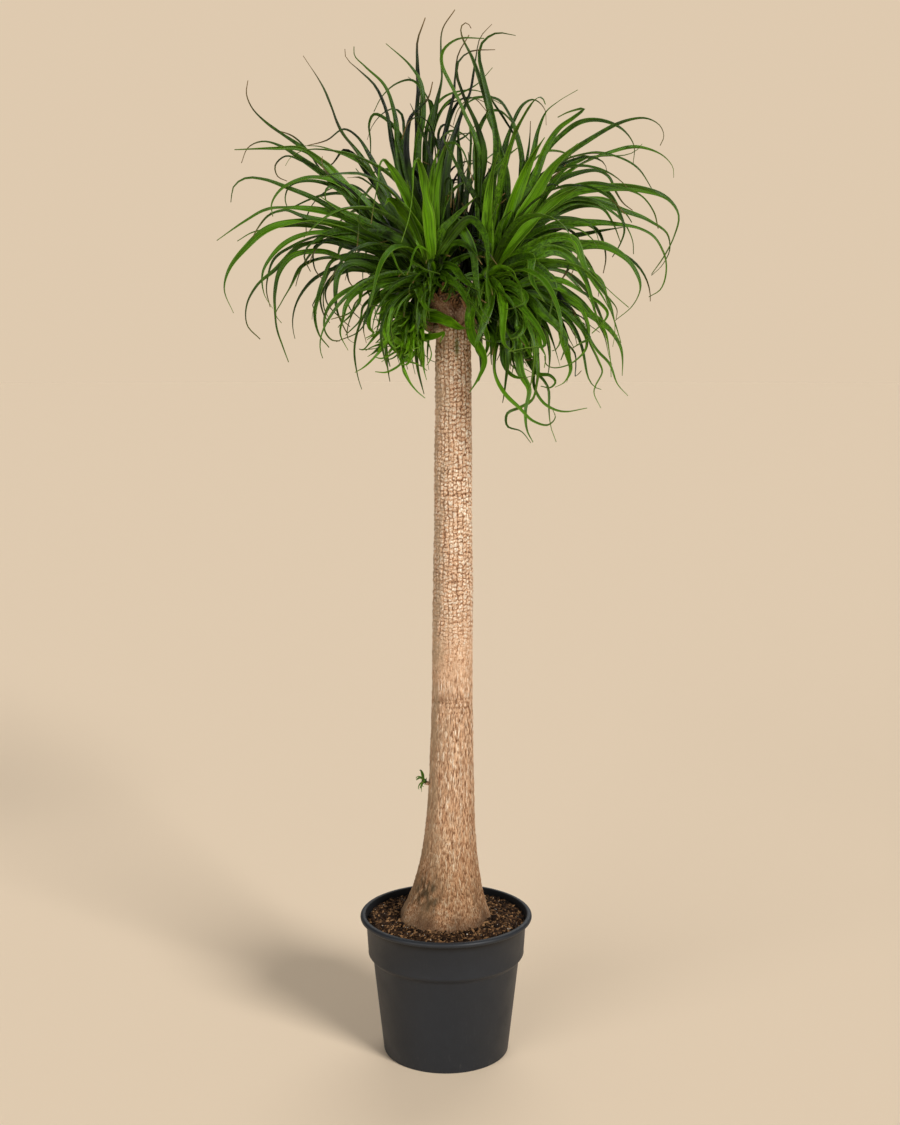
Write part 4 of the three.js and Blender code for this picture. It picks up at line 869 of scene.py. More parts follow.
FRONT_RIGHT_LEAVES = [
    seen(0.3, -20, 17, (20, 20), (58, 1412), (44, 1440), (22, 1455), (0, 1448)),
    seen(0.7, -90, 17, (0, 40), (92, 1425), (116, 1475), (150, 1545), (170, 1595), (190, 1625), (215, 1643),
         (232, 1657), (207, 1652), (188, 1643)),
    seen(1, -130, 20, (0, 10), (90, 1430), (108, 1480), (127, 1533), (141, 1566), (153, 1590), (166, 1610)),
    seen(1, -150, 20, (0, 10), (100, 1430), (142, 1500), (182, 1563), (222, 1600)),
    seen(0.4, -145, 12, (20, 40), (100, 1430), (142, 1500), (182, 1563), (240, 1606), (300, 1637),
         (335, 1642), (360, 1630), (367, 1612), (361, 1597)),
    seen(1, -170, 20, (0, 10), (98, 1418), (140, 1467), (188, 1508), (226, 1530)),
    seen(0.5, -165, 14, (10, 30), (100, 1420), (140, 1467), (190, 1516), (240, 1533), (290, 1529),
         (330, 1515), (352, 1488), (360, 1460)),
    seen(0.5, -60, 18, (20, 40), (105, 1410), (150, 1475), (210, 1518), (270, 1528), (330, 1525), (375, 1510),
         (395, 1482), (388, 1448), (372, 1415), (350, 1383)),
    seen(0.6, -150, 18, (20, 30), (108, 1408), (150, 1432), (190, 1446), (218, 1440), (234, 1402),
         (250, 1372), (268, 1345), (283, 1318)),
    seen(0.5, -150, 21, (30, 20), (112, 1385), (140, 1408), (176, 1424), (205, 1416), (228, 1392),
         (243, 1362), (252, 1330), (262, 1300)),
    seen(0.55, -90, 18, (30, 40), (110, 1375), (145, 1392), (185, 1402), (222, 1395), (250, 1376),
         (272, 1350), (292, 1325), (291, 1308)),
    seen(0.5, -60, 16, (40, 40), (108, 1372), (150, 1395), (200, 1400), (240, 1388), (264, 1372), (276, 1340),
         (286, 1312), (300, 1268)),
    seen(0.6, -190, 12, (30, 50), (110, 1362), (150, 1378), (195, 1374), (228, 1357), (262, 1336),
         (276, 1319), (270, 1304), (250, 1284)),
    seen(0.65, -130, 19, (20, 20), (108, 1355), (150, 1368), (190, 1358), (220, 1335), (248, 1315),
         (280, 1291), (298, 1264), (303, 1240), (303, 1212)),
    seen(0.6, -170, 18, (20, 50), (105, 1352), (145, 1362), (190, 1348), (228, 1330), (243, 1300),
         (247, 1273), (262, 1240), (270, 1219), (258, 1196), (255, 1182), (267, 1157)),
    seen(0.55, -100, 15, (40, 50), (105, 1350), (150, 1356), (200, 1335), (232, 1300), (259, 1256),
         (281, 1232), (295, 1198), (313, 1178)),
    seen(0.55, -200, 15, (30, 40), (108, 1360), (160, 1372), (215, 1350), (252, 1315), (274, 1282),
         (281, 1250), (284, 1210)),
    seen(0.65, -150, 21, (15, 50), (100, 1348), (140, 1350), (175, 1325), (195, 1295), (202, 1268),
         (209, 1246), (214, 1222), (204, 1201), (188, 1192)),
    seen(0.55, -210, 9, (30, 30), (105, 1345), (160, 1345), (215, 1310), (240, 1278), (240, 1257),
         (218, 1234), (188, 1225), (172, 1231), (169, 1245)),
    seen(0.6, -180, 19, (10, 60), (88, 1365), (100, 1345), (97, 1300), (86, 1260), (86, 1215), (100, 1184),
         (127, 1157), (150, 1135), (175, 1128), (188, 1140), (183, 1155)),
    seen(0.65, -140, 18, (20, 30), (95, 1358), (120, 1340), (128, 1300), (123, 1260), (130, 1215),
         (143, 1188), (137, 1150), (140, 1118), (150, 1098)),
    seen(0.6, -120, 18, (20, 50), (98, 1355), (135, 1335), (150, 1295), (154, 1255), (158, 1210), (150, 1172),
         (128, 1158), (106, 1147), (106, 1126), (130, 1117), (147, 1097)),
    seen(0.6, -100, 15, (30, 40), (100, 1350), (140, 1325), (158, 1280), (152, 1235), (152, 1195),
         (167, 1167), (186, 1155), (207, 1151), (243, 1157)),
    seen(0.6, -90, 16, (20, 30), (98, 1348), (125, 1320), (132, 1275), (138, 1240), (158, 1216), (178, 1213),
         (188, 1202), (180, 1192), (163, 1194)),
    seen(0.6, -80, 15, (20, 40), (105, 1345), (145, 1335), (170, 1300), (184, 1268), (196, 1229)),
    seen(0.65, -160, 14, (20, 40), (100, 1345), (135, 1325), (155, 1290), (163, 1262), (171, 1245),
         (169, 1226)),
    seen(0.75, -170, 19, (5, 10), (72, 1378), (90, 1360), (98, 1330), (97, 1295), (100, 1266), (116, 1252)),
    seen(0.35, -215, 19, (10, 20), (50, 1345), (40, 1310), (45, 1278), (60, 1256), (66, 1235), (57, 1210),
         (41, 1184)),
    seen(0.65, -170, 16, (10, 30), (58, 1350), (60, 1310), (72, 1270), (64, 1240), (62, 1215)),
    seen(0.55, -120, 7, (20, 20), (110, 1400), (170, 1430), (215, 1425), (245, 1395), (275, 1360),
         (312, 1328)),
    seen(0.5, -180, 15, (30, 40), (105, 1350), (150, 1350), (200, 1325), (235, 1290), (246, 1276),
         (232, 1268), (214, 1257)),
    seen(0.65, -60, 14, (20, 40), (90, 1350), (108, 1320), (112, 1280), (118, 1245), (113, 1212)),
    seen(0.5, -60, 15, (20, 40), (60, 1450), (55, 1530), (52, 1600), (30, 1655), (8, 1698), (-7, 1732),
         (-4, 1752), (20, 1770), (64, 1771)),
    seen(0.45, -75, 16, (20, 40), (88, 1430), (100, 1500), (97, 1565), (84, 1620), (65, 1680), (45, 1738),
         (27, 1775), (26, 1790), (35, 1796), (42, 1787)),
    seen(0.5, -90, 17, (20, 20), (66, 1440), (60, 1500), (68, 1535), (85, 1560), (104, 1580), (122, 1594)),
    seen(0.9, -120, 19, (5, 20), (72, 1430), (70, 1480), (74, 1530), (80, 1560), (88, 1585)),
]
RIGHT_LEAVES = [
    seen(0.3, 60, 15, (30, 50), (96, 1430), (132, 1520), (178, 1598), (225, 1635), (262, 1638), (298, 1623),
         (317, 1597), (316, 1566)),
    seen(0.3, 30, 16, (40, 40), (102, 1420), (150, 1520), (195, 1572), (245, 1586), (290, 1579), (325, 1559),
         (350, 1523)),
    seen(0.5, 90, 17, (30, 40), (105, 1415), (155, 1505), (218, 1562), (265, 1583), (322, 1595), (362, 1583),
         (383, 1562), (385, 1544)),
    seen(0.4, 10, 15, (30, 30), (105, 1410), (150, 1490), (185, 1535), (218, 1551), (255, 1556), (275, 1546),
         (288, 1520), (300, 1502), (316, 1490)),
    seen(0.3, 70, 11, (30, 30), (108, 1400), (155, 1475), (208, 1508), (243, 1508), (275, 1492), (301, 1471),
         (317, 1440), (319, 1417)),
    seen(0.3, 110, 17, (20, 20), (110, 1400), (155, 1465), (204, 1492), (240, 1499), (266, 1493), (284, 1468),
         (297, 1436)),
    seen(0.3, 20, 18, (30, 20), (108, 1405), (160, 1485), (215, 1525), (255, 1528), (278, 1514), (294, 1486),
         (303, 1458), (296, 1434), (283, 1412)),
    seen(0.5, 40, 18, (30, 50), (108, 1395), (140, 1440), (190, 1466), (250, 1470), (310, 1465), (350, 1450),
         (371, 1418), (375, 1385), (366, 1358), (346, 1345)),
    seen(0.3, 80, 15, (20, 30), (108, 1390), (150, 1440), (200, 1464), (240, 1467), (260, 1453), (270, 1427),
         (272, 1408), (268, 1385)),
    seen(0.4, 0, 20, (30, 30), (110, 1385), (160, 1415), (215, 1430), (265, 1432), (298, 1417), (322, 1391),
         (332, 1361), (320, 1332), (289, 1305)),
    seen(0.4, 100, 18, (30, 40), (112, 1395), (155, 1465), (205, 1503), (245, 1506), (295, 1492), (345, 1473),
         (376, 1452), (381, 1425), (368, 1398), (350, 1381)),
    seen(0.3, 20, 11, (20, 20), (98, 1430), (120, 1510), (136, 1570), (141, 1610), (142, 1637)),
    seen(0.3, 50, 15, (20, 40), (96, 1430), (125, 1520), (146, 1580), (155, 1622), (168, 1652), (186, 1668),
         (221, 1688)),
    seen(0.2, 60, 16, (20, 20), (112, 1380), (150, 1410), (190, 1435), (215, 1447), (240, 1452), (262, 1456),
         (300, 1462)),
    seen(0.3, 30, 12, (20, 30), (98, 1430), (125, 1520), (122, 1600), (100, 1638), (78, 1670), (57, 1706)),
    seen(0.3, 60, 14, (20, 30), (75, 1430), (55, 1530), (50, 1590), (58, 1628), (74, 1652), (90, 1654),
         (110, 1637), (125, 1610)),
    seen(0.4, 80, 17, (15, 40), (85, 1430), (92, 1520), (98, 1590), (112, 1632), (130, 1665), (148, 1672),
         (166, 1657), (169, 1630)),
    seen(0.35, 10, 15, (20, 40), (100, 1430), (126, 1520), (128, 1580), (118, 1620), (105, 1652), (90, 1671),
         (66, 1677), (38, 1673), (20, 1655), (12, 1630)),
]
BACK_LEAVES = [
    seen(0.3, 70, 17, (10, 130), (-8, 1450), (-28, 1530), (-28, 1600), (-18, 1655), (-9, 1700), (-9, 1745),
         (-6, 1785), (15, 1817)),
    seen(0.3, 90, 15, (20, 30), (0, 1450), (-25, 1540), (-25, 1608), (-5, 1660), (25, 1682), (52, 1697),
         (78, 1724)),
    seen(0.3, 120, 10, (20, 30), (-5, 1450), (-35, 1560), (-28, 1640), (-5, 1675), (25, 1686), (50, 1687),
         (78, 1677)),
    seen(0.2, 80, 21, (5, 60), (-12, 1450), (-46, 1530), (-46, 1600), (-37, 1650), (-41, 1698), (-60, 1728),
         (-100, 1763)),
    seen(0.2, 110, 10, (20, 20), (-10, 1450), (-48, 1560), (-42, 1650), (-42, 1690), (-58, 1704), (-85, 1697),
         (-108, 1676), (-121, 1652)),
    seen(0.25, 100, 13, (20, 30), (20, 1450), (25, 1550), (20, 1620), (26, 1655), (45, 1672), (70, 1675),
         (95, 1664)),
    seen(0.2, 140, 13, (20, 20), (15, 1450), (-5, 1540), (-10, 1600), (5, 1620), (25, 1618), (45, 1600)),
    seen(0.2, 60, 15, (10, 20), (25, 1450), (35, 1520), (40, 1575), (42, 1610), (38, 1640)),
    seen(0.1, 40, 24, (0, 10), (30, 1395), (44, 1440), (50, 1500), (60, 1560)),
    seen(0.1, 30, 24, (0, 10), (42, 1385), (38, 1430), (26, 1480), (20, 1530)),
    seen(0.15, 20, 22, (0, 20), (22, 1390), (32, 1430), (52, 1450), (74, 1440)),
    seen(0.1, 50, 22, (0, 10), (52, 1390), (60, 1440), (68, 1500), (72, 1560)),
]
LOW_TUFT_LEAVES = [
    seen(0.95, -65, 10, (20, 20), (-62, 1333), (-84, 1330), (-103, 1315), (-111, 1296)),
    seen(1, -85, 13, (30, 10), (-75, 1338), (-105, 1345), (-124, 1335), (-132, 1313), (-131, 1294),
         (-124, 1284), (-137, 1276)),
    seen(0.95, -55, 10, (20, 40), (-70, 1305), (-98, 1282), (-108, 1266), (-123, 1252), (-134, 1245)),
    seen(0.85, -95, 10, (30, 30), (-72, 1308), (-100, 1276), (-112, 1256), (-129, 1237), (-142, 1226),
         (-156, 1218)),
    seen(0.95, -45, 10, (30, 30), (-68, 1300), (-98, 1276), (-93, 1260), (-79, 1246)),
    seen(1, -105, 11, (10, 30), (-66, 1305), (-92, 1279), (-76, 1267), (-62, 1259), (-61, 1251), (-72, 1246)),
    seen(0.8, -75, 10, (20, 40), (-66, 1298), (-86, 1268), (-80, 1250), (-74, 1233), (-71, 1217), (-62, 1201),
         (-50, 1186), (-36, 1174)),
    seen(0.75, -90, 8, (20, 20), (-60, 1292), (-64, 1265), (-60, 1252), (-72, 1238), (-86, 1226),
         (-103, 1218), (-121, 1219)),
    seen(0.75, -65, 8, (40, 40), (-48, 1290), (-41, 1268), (-39, 1245), (-38, 1226), (-33, 1205)),
    seen(1, -115, 19, (0, 10), (-42, 1314), (-22, 1313), (-4, 1308), (10, 1301), (24, 1294), (38, 1292)),
    seen(0.85, -105, 14, (20, 40), (-50, 1285), (-33, 1278), (-16, 1280), (-4, 1284), (-10, 1268)),
]

# The rosettes: where each stands beside the trunk, its leaves by rule and its small leaves.
# companions: leaves like each large one, turned round its root: how many, how far they may turn either way,
# and how much of its bright green they keep.
# skirt: short curling leaves round the foot: how many, their way out, their length and their green.
ROSETTES = [
    dict(
        name="left_rosette", crown=CROWN, fork=1288, azimuth=160, out=46, height=1348, splay=0.55,
        sector=(112, 176), grown=11, reach=(380, 210), rise=(80, -14), seed=11,
        companions=(1, -60, 25, 0.6), skirt=(26, (170, 330), (60, 170), 0.2),
        traced=LEFT_LEAVES,
    ),
    dict(
        name="front_left_rosette", crown=CROWN, fork=1288, azimuth=232, out=44, height=1350, splay=0.5,
        sector=(196, 250), grown=9, reach=(360, 190), rise=(86, -24), seed=29,
        companions=(2, -60, 30, 0.45), skirt=(70, (185, 345), (45, 125), 0.55),
        traced=FRONT_LEFT_LEAVES,
    ),
    dict(
        name="front_right_rosette", crown=CROWN, fork=1288, azimuth=322, out=60, height=1348, splay=0.5,
        sector=(292, 345), grown=9, reach=(380, 230), rise=(88, -40), seed=47,
        companions=(2, -30, 60, 0.45), skirt=(70, (185, 350), (45, 150), 0.55),
        traced=FRONT_RIGHT_LEAVES,
    ),
    dict(
        name="right_rosette", crown=CROWN, fork=1288, azimuth=22, out=56, height=1344, splay=0.55,
        sector=(4, 66), grown=12, reach=(390, 240), rise=(82, -20), seed=61,
        companions=(0, 0, 0, 0), skirt=(16, (-110, 60), (60, 150), 0.3),
        traced=RIGHT_LEAVES,
    ),
    dict(
        name="back_rosette", crown=CROWN, fork=1288, azimuth=88, out=44, height=1358, splay=0.35,
        sector=(56, 128), grown=20, reach=(400, 230), rise=(88, -20), seed=83,
        companions=(3, -80, 80, 0.5), skirt=(16, (20, 160), (60, 170), 0.2),
        traced=BACK_LEAVES,
    ),
    dict(
        name="low_tuft", crown=TUFT_CROWN, fork=1276, azimuth=192, out=52, height=1300, splay=1.6,
        sector=(110, 270), grown=7, reach=(85, 130), rise=(70, -70), seed=131,
        companions=(7, -75, 75, 1.9), skirt=(76, (135, 310), (40, 105), 2.6),
        traced=LOW_TUFT_LEAVES,
    ),
    dict(
        name="trunk_sprout", crown=BUD_CROWN, fork=486, azimuth=184, out=45, height=494, splay=0.9,
        sector=(100, 260), grown=5, reach=(27, 24), rise=(80, 0), seed=173,
        companions=(0, 0, 0, 0), skirt=(5, (120, 250), (14, 24), 0.1),
        traced=[],
    ),
]


def grown_leaves(rosette):
    """Leaves by rule: the youngest stand up in the middle, the oldest hang from the foot of the rosette."""
    size = rosette["crown"]["radius"] / CROWN["radius"]
    made = []
    for i in range(rosette["grown"]):
        seed = rosette["seed"] + i
        age = (i + 0.5) / rosette["grown"]
        turn = (i * GOLDEN_TURN + 0.2 * chance(seed, 1)) % 1
        slopes = [between(*rosette["rise"], age**1.1) + between(-7, 7, chance(seed, 2))]
        for least, most in ((6, 26), (14, 38), (18, 46), (10, 62)):
            slopes.append(max(-115, slopes[-1] - between(least, most, chance(seed, 3 + len(slopes)))))
        made.append(dict(
            azimuth=between(*rosette["sector"], turn),
            length=between(*rosette["reach"], age**1.7) * between(0.82, 1.06, chance(seed, 8)),
            slopes=slopes,
            curl=between(-90, 110, chance(seed, 10)) if chance(seed, 9) > 0.75 else 0,
            sway=between(-9, 9, chance(seed, 11)),
            twist=between(-60, 60, chance(seed, 12)),
            start=between(0.95, 0.1, age),
            width=min(1, size * 1.05) * BLADE_WIDTH * between(0.8, 1.1, chance(seed, 13)),
            youth=max(0, between(0.4, 0.1, age) + between(-0.15, 0.15, chance(seed, 14))),
            rows=GROWN_ROWS,
        ))
    return made


def companions(rosette):
    """Leaves that take the bends of the large ones and stand round them, finer and mostly shorter."""
    count, least, most, green = rosette["companions"]
    made = []
    for i, large in enumerate(rosette["traced"]):
        for k in range(count):
            seed = rosette["seed"] * 7 + i * 13 + k
            made.append(dict(
                large,
                swing=between(least, most, (k + chance(seed, 21)) / count),
                lift=between(-16, 13, chance(seed, 22)),
                share=between(0.5, 1.0, chance(seed, 23)) * (0.75 if large["spots"][-1][0] > 240 else 1),
                width=large["width"] * between(0.8, 1.2, chance(seed, 24)),
                youth=large["youth"] * green * between(0.5, 1.4, chance(seed, 25)),
                wander=between(8, 34, chance(seed, 26)),
                # painted shade: companions of the large rosettes are darker by a random amount
                shade=between(0, 0.35, chance(seed, 27)) * (rosette["crown"] is CROWN),
                rows=GROWN_ROWS,
            ))
    return made


def skirt(rosette):
    """Short leaves that curl over the foot of a rosette and hide the wood under it."""
    count, sector, reach, green = rosette["skirt"]
    tuft = rosette["crown"] is TUFT_CROWN
    size = 0.85 if tuft else max(0.4, rosette["crown"]["radius"] / CROWN["radius"])
    droop = 40 if tuft else 62
    made = []
    for i in range(count):
        seed = rosette["seed"] * 3 + i
        slopes = [between(60, -35, chance(seed, 51))]
        for k in range(4):
            slopes.append(max(-150, slopes[-1] - droop * chance(seed, 52 + k)))
        made.append(dict(
            azimuth=between(*sector, (i * GOLDEN_TURN + 0.3 * chance(seed, 57)) % 1),
            length=between(*reach, chance(seed, 58) ** 1.5),
            slopes=slopes,
            curl=between(-120, 120, chance(seed, 59)),
            sway=between(-60, 60, chance(seed, 60)),
            twist=between(-120, 120, chance(seed, 61)),
            start=between(-0.25, 0.45, chance(seed, 62)),
            width=between(5.5, 12.5, chance(seed, 63)) * size,
            youth=green * between(0.3, 1.6, chance(seed, 64)),
            rows=SKIRT_ROWS,
        ))
    return made


def beside_trunk(place):
    heading = math.radians(place["azimuth"])
    out, height = place["out"], place["height"]
    return Vector((trunk_middle(height) + out * math.cos(heading), out * math.sin(heading), height))


def fork_of(rosette):
    """Where a rosette's branch leaves the middle of the trunk."""
    return Vector((trunk_middle(rosette["fork"]), 0, rosette["fork"]))


def rosette_axis(rosette):
    heading, splay = math.radians(rosette["azimuth"]), rosette["splay"]
    return Vector((splay * math.cos(heading), splay * math.sin(heading), 1)).normalized()


def slope_at(blade, t):
    place = min(t, 0.9999) * (len(blade["slopes"]) - 1)
    before = math.floor(place)
    tip_share = max(0, t - CURL_FROM) / (1 - CURL_FROM)
    slope = between(blade["slopes"][before], blade["slopes"][before + 1], place - before)
    return math.radians(slope + blade["curl"] * tip_share**2)


def smooth_line(points, steps):
    """Points close together on a centripetal curve through the given ones."""
    ends = [points[0] * 2 - points[1], *points, points[-1] * 2 - points[-2]]
    line = [points[0].copy()]
    for p0, p1, p2, p3 in zip(ends, ends[1:], ends[2:], ends[3:]):
        d0, d1, d2 = math.sqrt((p1 - p0).length), math.sqrt((p2 - p1).length), math.sqrt((p3 - p2).length)
        leave = ((p1 - p0) / d0 - (p2 - p0) / (d0 + d1) + (p2 - p1) / d1) * d1
        arrive = ((p2 - p1) / d1 - (p3 - p1) / (d1 + d2) + (p3 - p2) / d2) * d1
        for k in range(1, steps + 1):
            s = k / steps
            line.append(
                p1 * (2 * s**3 - 3 * s**2 + 1) + leave * (s**3 - 2 * s**2 + s)
                + p2 * (3 * s**2 - 2 * s**3) + arrive * (s**3 - s**2)
            )
    return line


def evenly(line, count):
    """Points at even distances along a line."""
    reached = [0]
    for a, b in zip(line, line[1:]):
        reached.append(reached[-1] + (b - a).length)
    made, k = [], 0
    for i in range(count + 1):
        due = reached[-1] * i / count
        while k < len(line) - 2 and reached[k + 1] < due:
            k += 1
        share = (due - reached[k]) / max(1e-6, reached[k + 1] - reached[k])
        made.append(line[k].lerp(line[k + 1], min(1, share)))
    return made


def traced_stations(blade, root, number):
    """The midrib of a large leaf or of a companion: points with the way across and the way up at each."""
    spots, near = blade["spots"], blade["near"]
    points = [root]
    for i, (x, z) in enumerate(spots):
        depth = between(root.y, near, (i + 1) / len(spots))
        points.append(EYE + (Vector((x, 0, z)) - EYE) * ((depth - EYE.y) / -EYE.y))
    line = evenly(smooth_line(points, 16), BLADE_STEPS)
    side = 1 if spots[-1][0] < root.x else -1
    pose = Matrix.Rotation(math.radians(blade.get("swing", 0)), 3, "Z")
    pose = pose @ Matrix.Rotation(math.radians(blade.get("lift", 0)) * side, 3, "Y")
    share, wander = blade.get("share", 1), blade.get("wander", 0)
    length = sum((b - a).length for a, b in zip(line, line[1:])) * share
    stations = []
    for i, point in enumerate(line):
        t = i / BLADE_STEPS
        ahead, behind = line[min(i + 1, BLADE_STEPS)], line[max(i - 1, 0)]
        forward = (ahead - behind).normalized()
        across = Vector((0, 1, 0)).cross(forward).normalized()
        flutter = FLUTTER * noise_at(number * 2.13, t * 4.2, 7.7) * min(1, 3 * t)
        across.rotate(Quaternion(forward, side * math.radians(between(*blade["turn"], t) + flutter)))
        drift = noise.noise_vector(Vector((number * 1.37, t * 2.1, 3.3)))
        drift -= noise.noise_vector(Vector((number * 1.37, 0, 3.3)))
        place = root + pose @ (point - root) * share + drift * (wander * t)
        across = pose @ across
        stations.append((place, across, across.cross(pose @ forward)))
    return stations, length


def grown_stations(blade, root):
    """The same for a leaf by rule or a scale, from its slopes and its way out."""
    point, stations = root.copy(), []
    for i in range(BLADE_STEPS + 1):
        t = i / BLADE_STEPS
        slope = slope_at(blade, t)
        heading = math.radians(blade["azimuth"] + blade["sway"] * t * t)
        level = Vector((math.cos(heading), math.sin(heading), 0))
        forward = level * math.cos(slope) + Vector((0, 0, math.sin(slope)))
        across = Vector((math.sin(heading), -math.cos(heading), 0))
        across.rotate(Quaternion(forward, math.radians(blade["twist"] * (0.3 + 0.7 * t))))
        stations.append((point.copy(), across, across.cross(forward)))
        point += forward * (blade["length"] / BLADE_STEPS)
    return stations, blade["length"]


def hides_trunk(point):
    """Whether a point is in front of the bare top of the trunk."""
    return abs(point.x - BARE_MIDDLE) < BARE_REACH and point.z < BARE_TOP and point.y < 0


def hides_fan(point):
    """Whether a point is in front of the middle of a bright fan."""
    spot = Vector((point.x, point.z))
    for foot, end in FAN_LINES:
        near, share = intersect_point_line(spot, Vector(foot), Vector(end))
        if 0 < share < 1 and (spot - near).length < FAN_REACH:
            return point.y <= FAN_FRONT
    return False


def grow_blade(bm, layers, blade, stations, length, number):
    """One channelled strap leaf: a grid laid along the midrib, folded down to its keel."""
    grid = bmesh.ops.create_grid(
        bm, x_segments=BLADE_COLUMNS, y_segments=blade["rows"], size=0.5, calc_uvs=True
    )
    keel_verts = {vert for vert in grid["verts"] if abs(vert.co.x) < 0.01}
    for edge in {edge for vert in keel_verts for edge in vert.link_edges}:
        edge.smooth = not keel_verts.issuperset(edge.verts)
    youth = blade["youth"]
    tint = 0.85 * ease(0.15, 0.85, chance(number, 41)) + blade.get("shade", 0)
    fold = between(0.7, 1.5, chance(number, 42))
    full = ease(0.85, 1, youth) * (blade["rows"] == TRACED_ROWS)
    for vert in grid["verts"]:
        side, t = vert.co.x * 2, vert.co.y + 0.5
        place = t * BLADE_STEPS
        low = min(int(place), BLADE_STEPS - 1)
        point, across, up = (
            a.lerp(b, place - low) for a, b in zip(stations[low], stations[low + 1])
        )
        taper = (1 - t ** between(2, 5, full)) ** between(TAPER_POWER, 2, full)
        width = between(BLADE_TIP, blade["width"] * 1.08, min(1, 0.4 + 2 * t) * taper)
        keel = (KEEL + KEEL_SHARE * width) * fold * min(1, width / 6)
        ripple = 0.4 * math.sin(t * length / 11 + number) * abs(side) ** 3 * min(1, width / 10)
        ripple += 1.1 * noise_at(number, t * length / 30, side * 0.6) * min(1, width / 8)
        sink = keel * (1 - abs(side) ** 1.25)
        vert.co = (point + across * (side * width / 2) + up * (ripple - sink)) * MM
        # Painted shade: grown leaves are darker inside the crown, towards their roots and at the top.
        inner = max(0, 1 - (point - CROWN_MIDDLE).length / INNER_REACH) * ease(*INNER_RISE, point.z)
        painted_shade = ROOT_SHADE * max(0, 1 - t / 0.5) + INNER_SHADE * inner + TOP_SHADE * ease(*TOP_RISE, point.z)
        painted_shade *= 1 - min(1, youth)
        # Painted light: the lowest leaves are made lighter and greener.
        low_painted_light = ease(*LOW_FALL, point.z)
        vert[layers["youth"]] = clamp(youth * between(1.15, 0.45, t), 0, 0.84) + 0.15 * low_painted_light
        vert[layers["tint"]] = clamp(tint + painted_shade - 0.2 * low_painted_light, 0, 0.97)


def root_of(rosette, blade):
    """Where a leaf grows: the steeper it leaves, the higher up the rosette's stem."""
    axis, foot = rosette_axis(rosette), beside_trunk(rosette)
    if "spots" in blade:
        x, z = blade["spots"][0]
        rise = min(1, max(0, (z - foot.z) / STEEP_RISE))
        start = between(0, 0.88, rise) + 0.12 * chance(x, z)
    else:
        start = blade["start"]
    return foot + axis * (rosette["crown"]["length"] * between(*ROOT_SPAN, start))


def make_rosette(rosette):
    bm, layers = blade_mesh()
    blades = rosette["traced"] + grown_leaves(rosette) + companions(rosette) + skirt(rosette)
    large = len(rosette["traced"]) + rosette["grown"]
    for i, blade in enumerate(blades):
        number, root = rosette["seed"] * 100 + i, root_of(rosette, blade)
        if "spots" in blade:
            stations, length = traced_stations(blade, root, number)
        else:
            stations, length = grown_stations(blade, root)
        if i < large or not any(hides_trunk(point) or hides_fan(point) for point, _, _ in stations):
            grow_blade(bm, layers, blade, stations, length, number)
    name = rosette["name"]
    thicken(finish_piece(bm, name + "_leaves", STRAP_LEAF, [name]), "blade_thickness")


def make_crowns():
    """The stems inside the rosettes, where the leaves grow from."""
    bm, layers = blade_mesh()
    for rosette in ROSETTES:
        crown, axis = rosette["crown"], rosette_axis(rosette)
        middle = beside_trunk(rosette) + axis * (crown["length"] * 0.42)
        girth, reach = crown["belly"] * 0.75 * MM, crown["length"] * 0.4 * MM
        ball = bmesh.ops.create_uvsphere(
            bm, u_segments=28, v_segments=18, radius=1, calc_uvs=True,
            matrix=upright(middle, axis) @ Matrix.Diagonal((girth, girth, reach, 1)),
        )
        for vert in ball["verts"]:
            vert[layers["youth"]], vert[layers["tint"]] = 0.1, 0.55
    finish_piece(bm, "leaf_crowns", STRAP_LEAF)


# ---------- Soil ----------


CRUMBS = 3800
# The rarer crumbs, bark chips first: above what chance, their size, how long they are for it, their shade.
CRUMB_KINDS = [(0.93, (1.3, 2.6), (1.8, 3.2), (0.7, 0.93)), (0.9, (3, 4.6), (1.1, 1.5), (0.05, 0.4))]
WHITE_SPECKS = 0.022  # the share of crumbs that are white


def make_soil():
    centre = trunk_middle(0)
    gap = POT_WALL + SOIL_CLEARANCE
    wall = [
        (0, POT_FLOOR + 0.4), (BASE_RADIUS - POT_WALL - 5, POT_FLOOR + 0.4),
        (BASE_RADIUS - gap, POT_FLOOR + 5), (BODY_TOP_RADIUS - gap, SHOULDER_BOTTOM),
        (BAND_BOTTOM_RADIUS - gap, SHOULDER_TOP + 3), (SOIL_EDGE, SOIL_LEVEL - 4),
    ]
    socket = root_stock(SOIL_CLEARANCE)
    neck = socket[-1][0]
    rings = 30
    surface = [
        (between(SOIL_EDGE, neck, i / rings), SOIL_LEVEL + SOIL_MOUND * i / rings) for i in range(rings + 1)
    ]
    bm = turn_profile([*wall, *surface, *reversed(socket)], 260)
    tint = bm.verts.layers.float.new("crumb_tint")
    for vert in bm.verts:
        radius, z = math.hypot(vert.co.x, vert.co.y) / MM, vert.co.z / MM
        if z > SOIL_LEVEL - 2 or radius < neck + 0.2 and z > 100:
            vert.co.x += centre * MM * ease(SOIL_EDGE, neck, radius)
        if z >= SOIL_LEVEL - 0.5 and radius > neck + 1:
            x, y = vert.co.x / MM, vert.co.y / MM
            lumps = noise_at(x / 13, y / 13, 0) * 2.4 + noise_at(x / 4.2, y / 4.2, 5) * 2.6
            vert.co.z += (lumps + 0.9 * noise_at(x / 1.9, y / 1.9, 9)) * MM
            vert[tint] = clamp(0.34 + 0.3 * noise_at(x / 5, y / 5, 3) + 0.06 * lumps, 0.02, 0.9)
        else:
            vert[tint] = 0.2
    finish_piece(bm, "potting_soil", SOIL, ["soil"])


def crumb_look(i):
    """A crumb's size, how long it is for it, and its shade."""
    kind = chance(i, 2)
    for rarity, *limits in CRUMB_KINDS:
        if kind > rarity:
            return [between(low, high, chance(i, 6 + k)) for k, (low, high) in enumerate(limits)]
    if kind < WHITE_SPECKS:
        return between(0.8, 1.5, chance(i, 6)), 1.1, 1.0
    return between(0.7, 2.1, chance(i, 3) ** 2), between(1, 1.7, chance(i, 4)), between(0, 0.88, chance(i, 5))


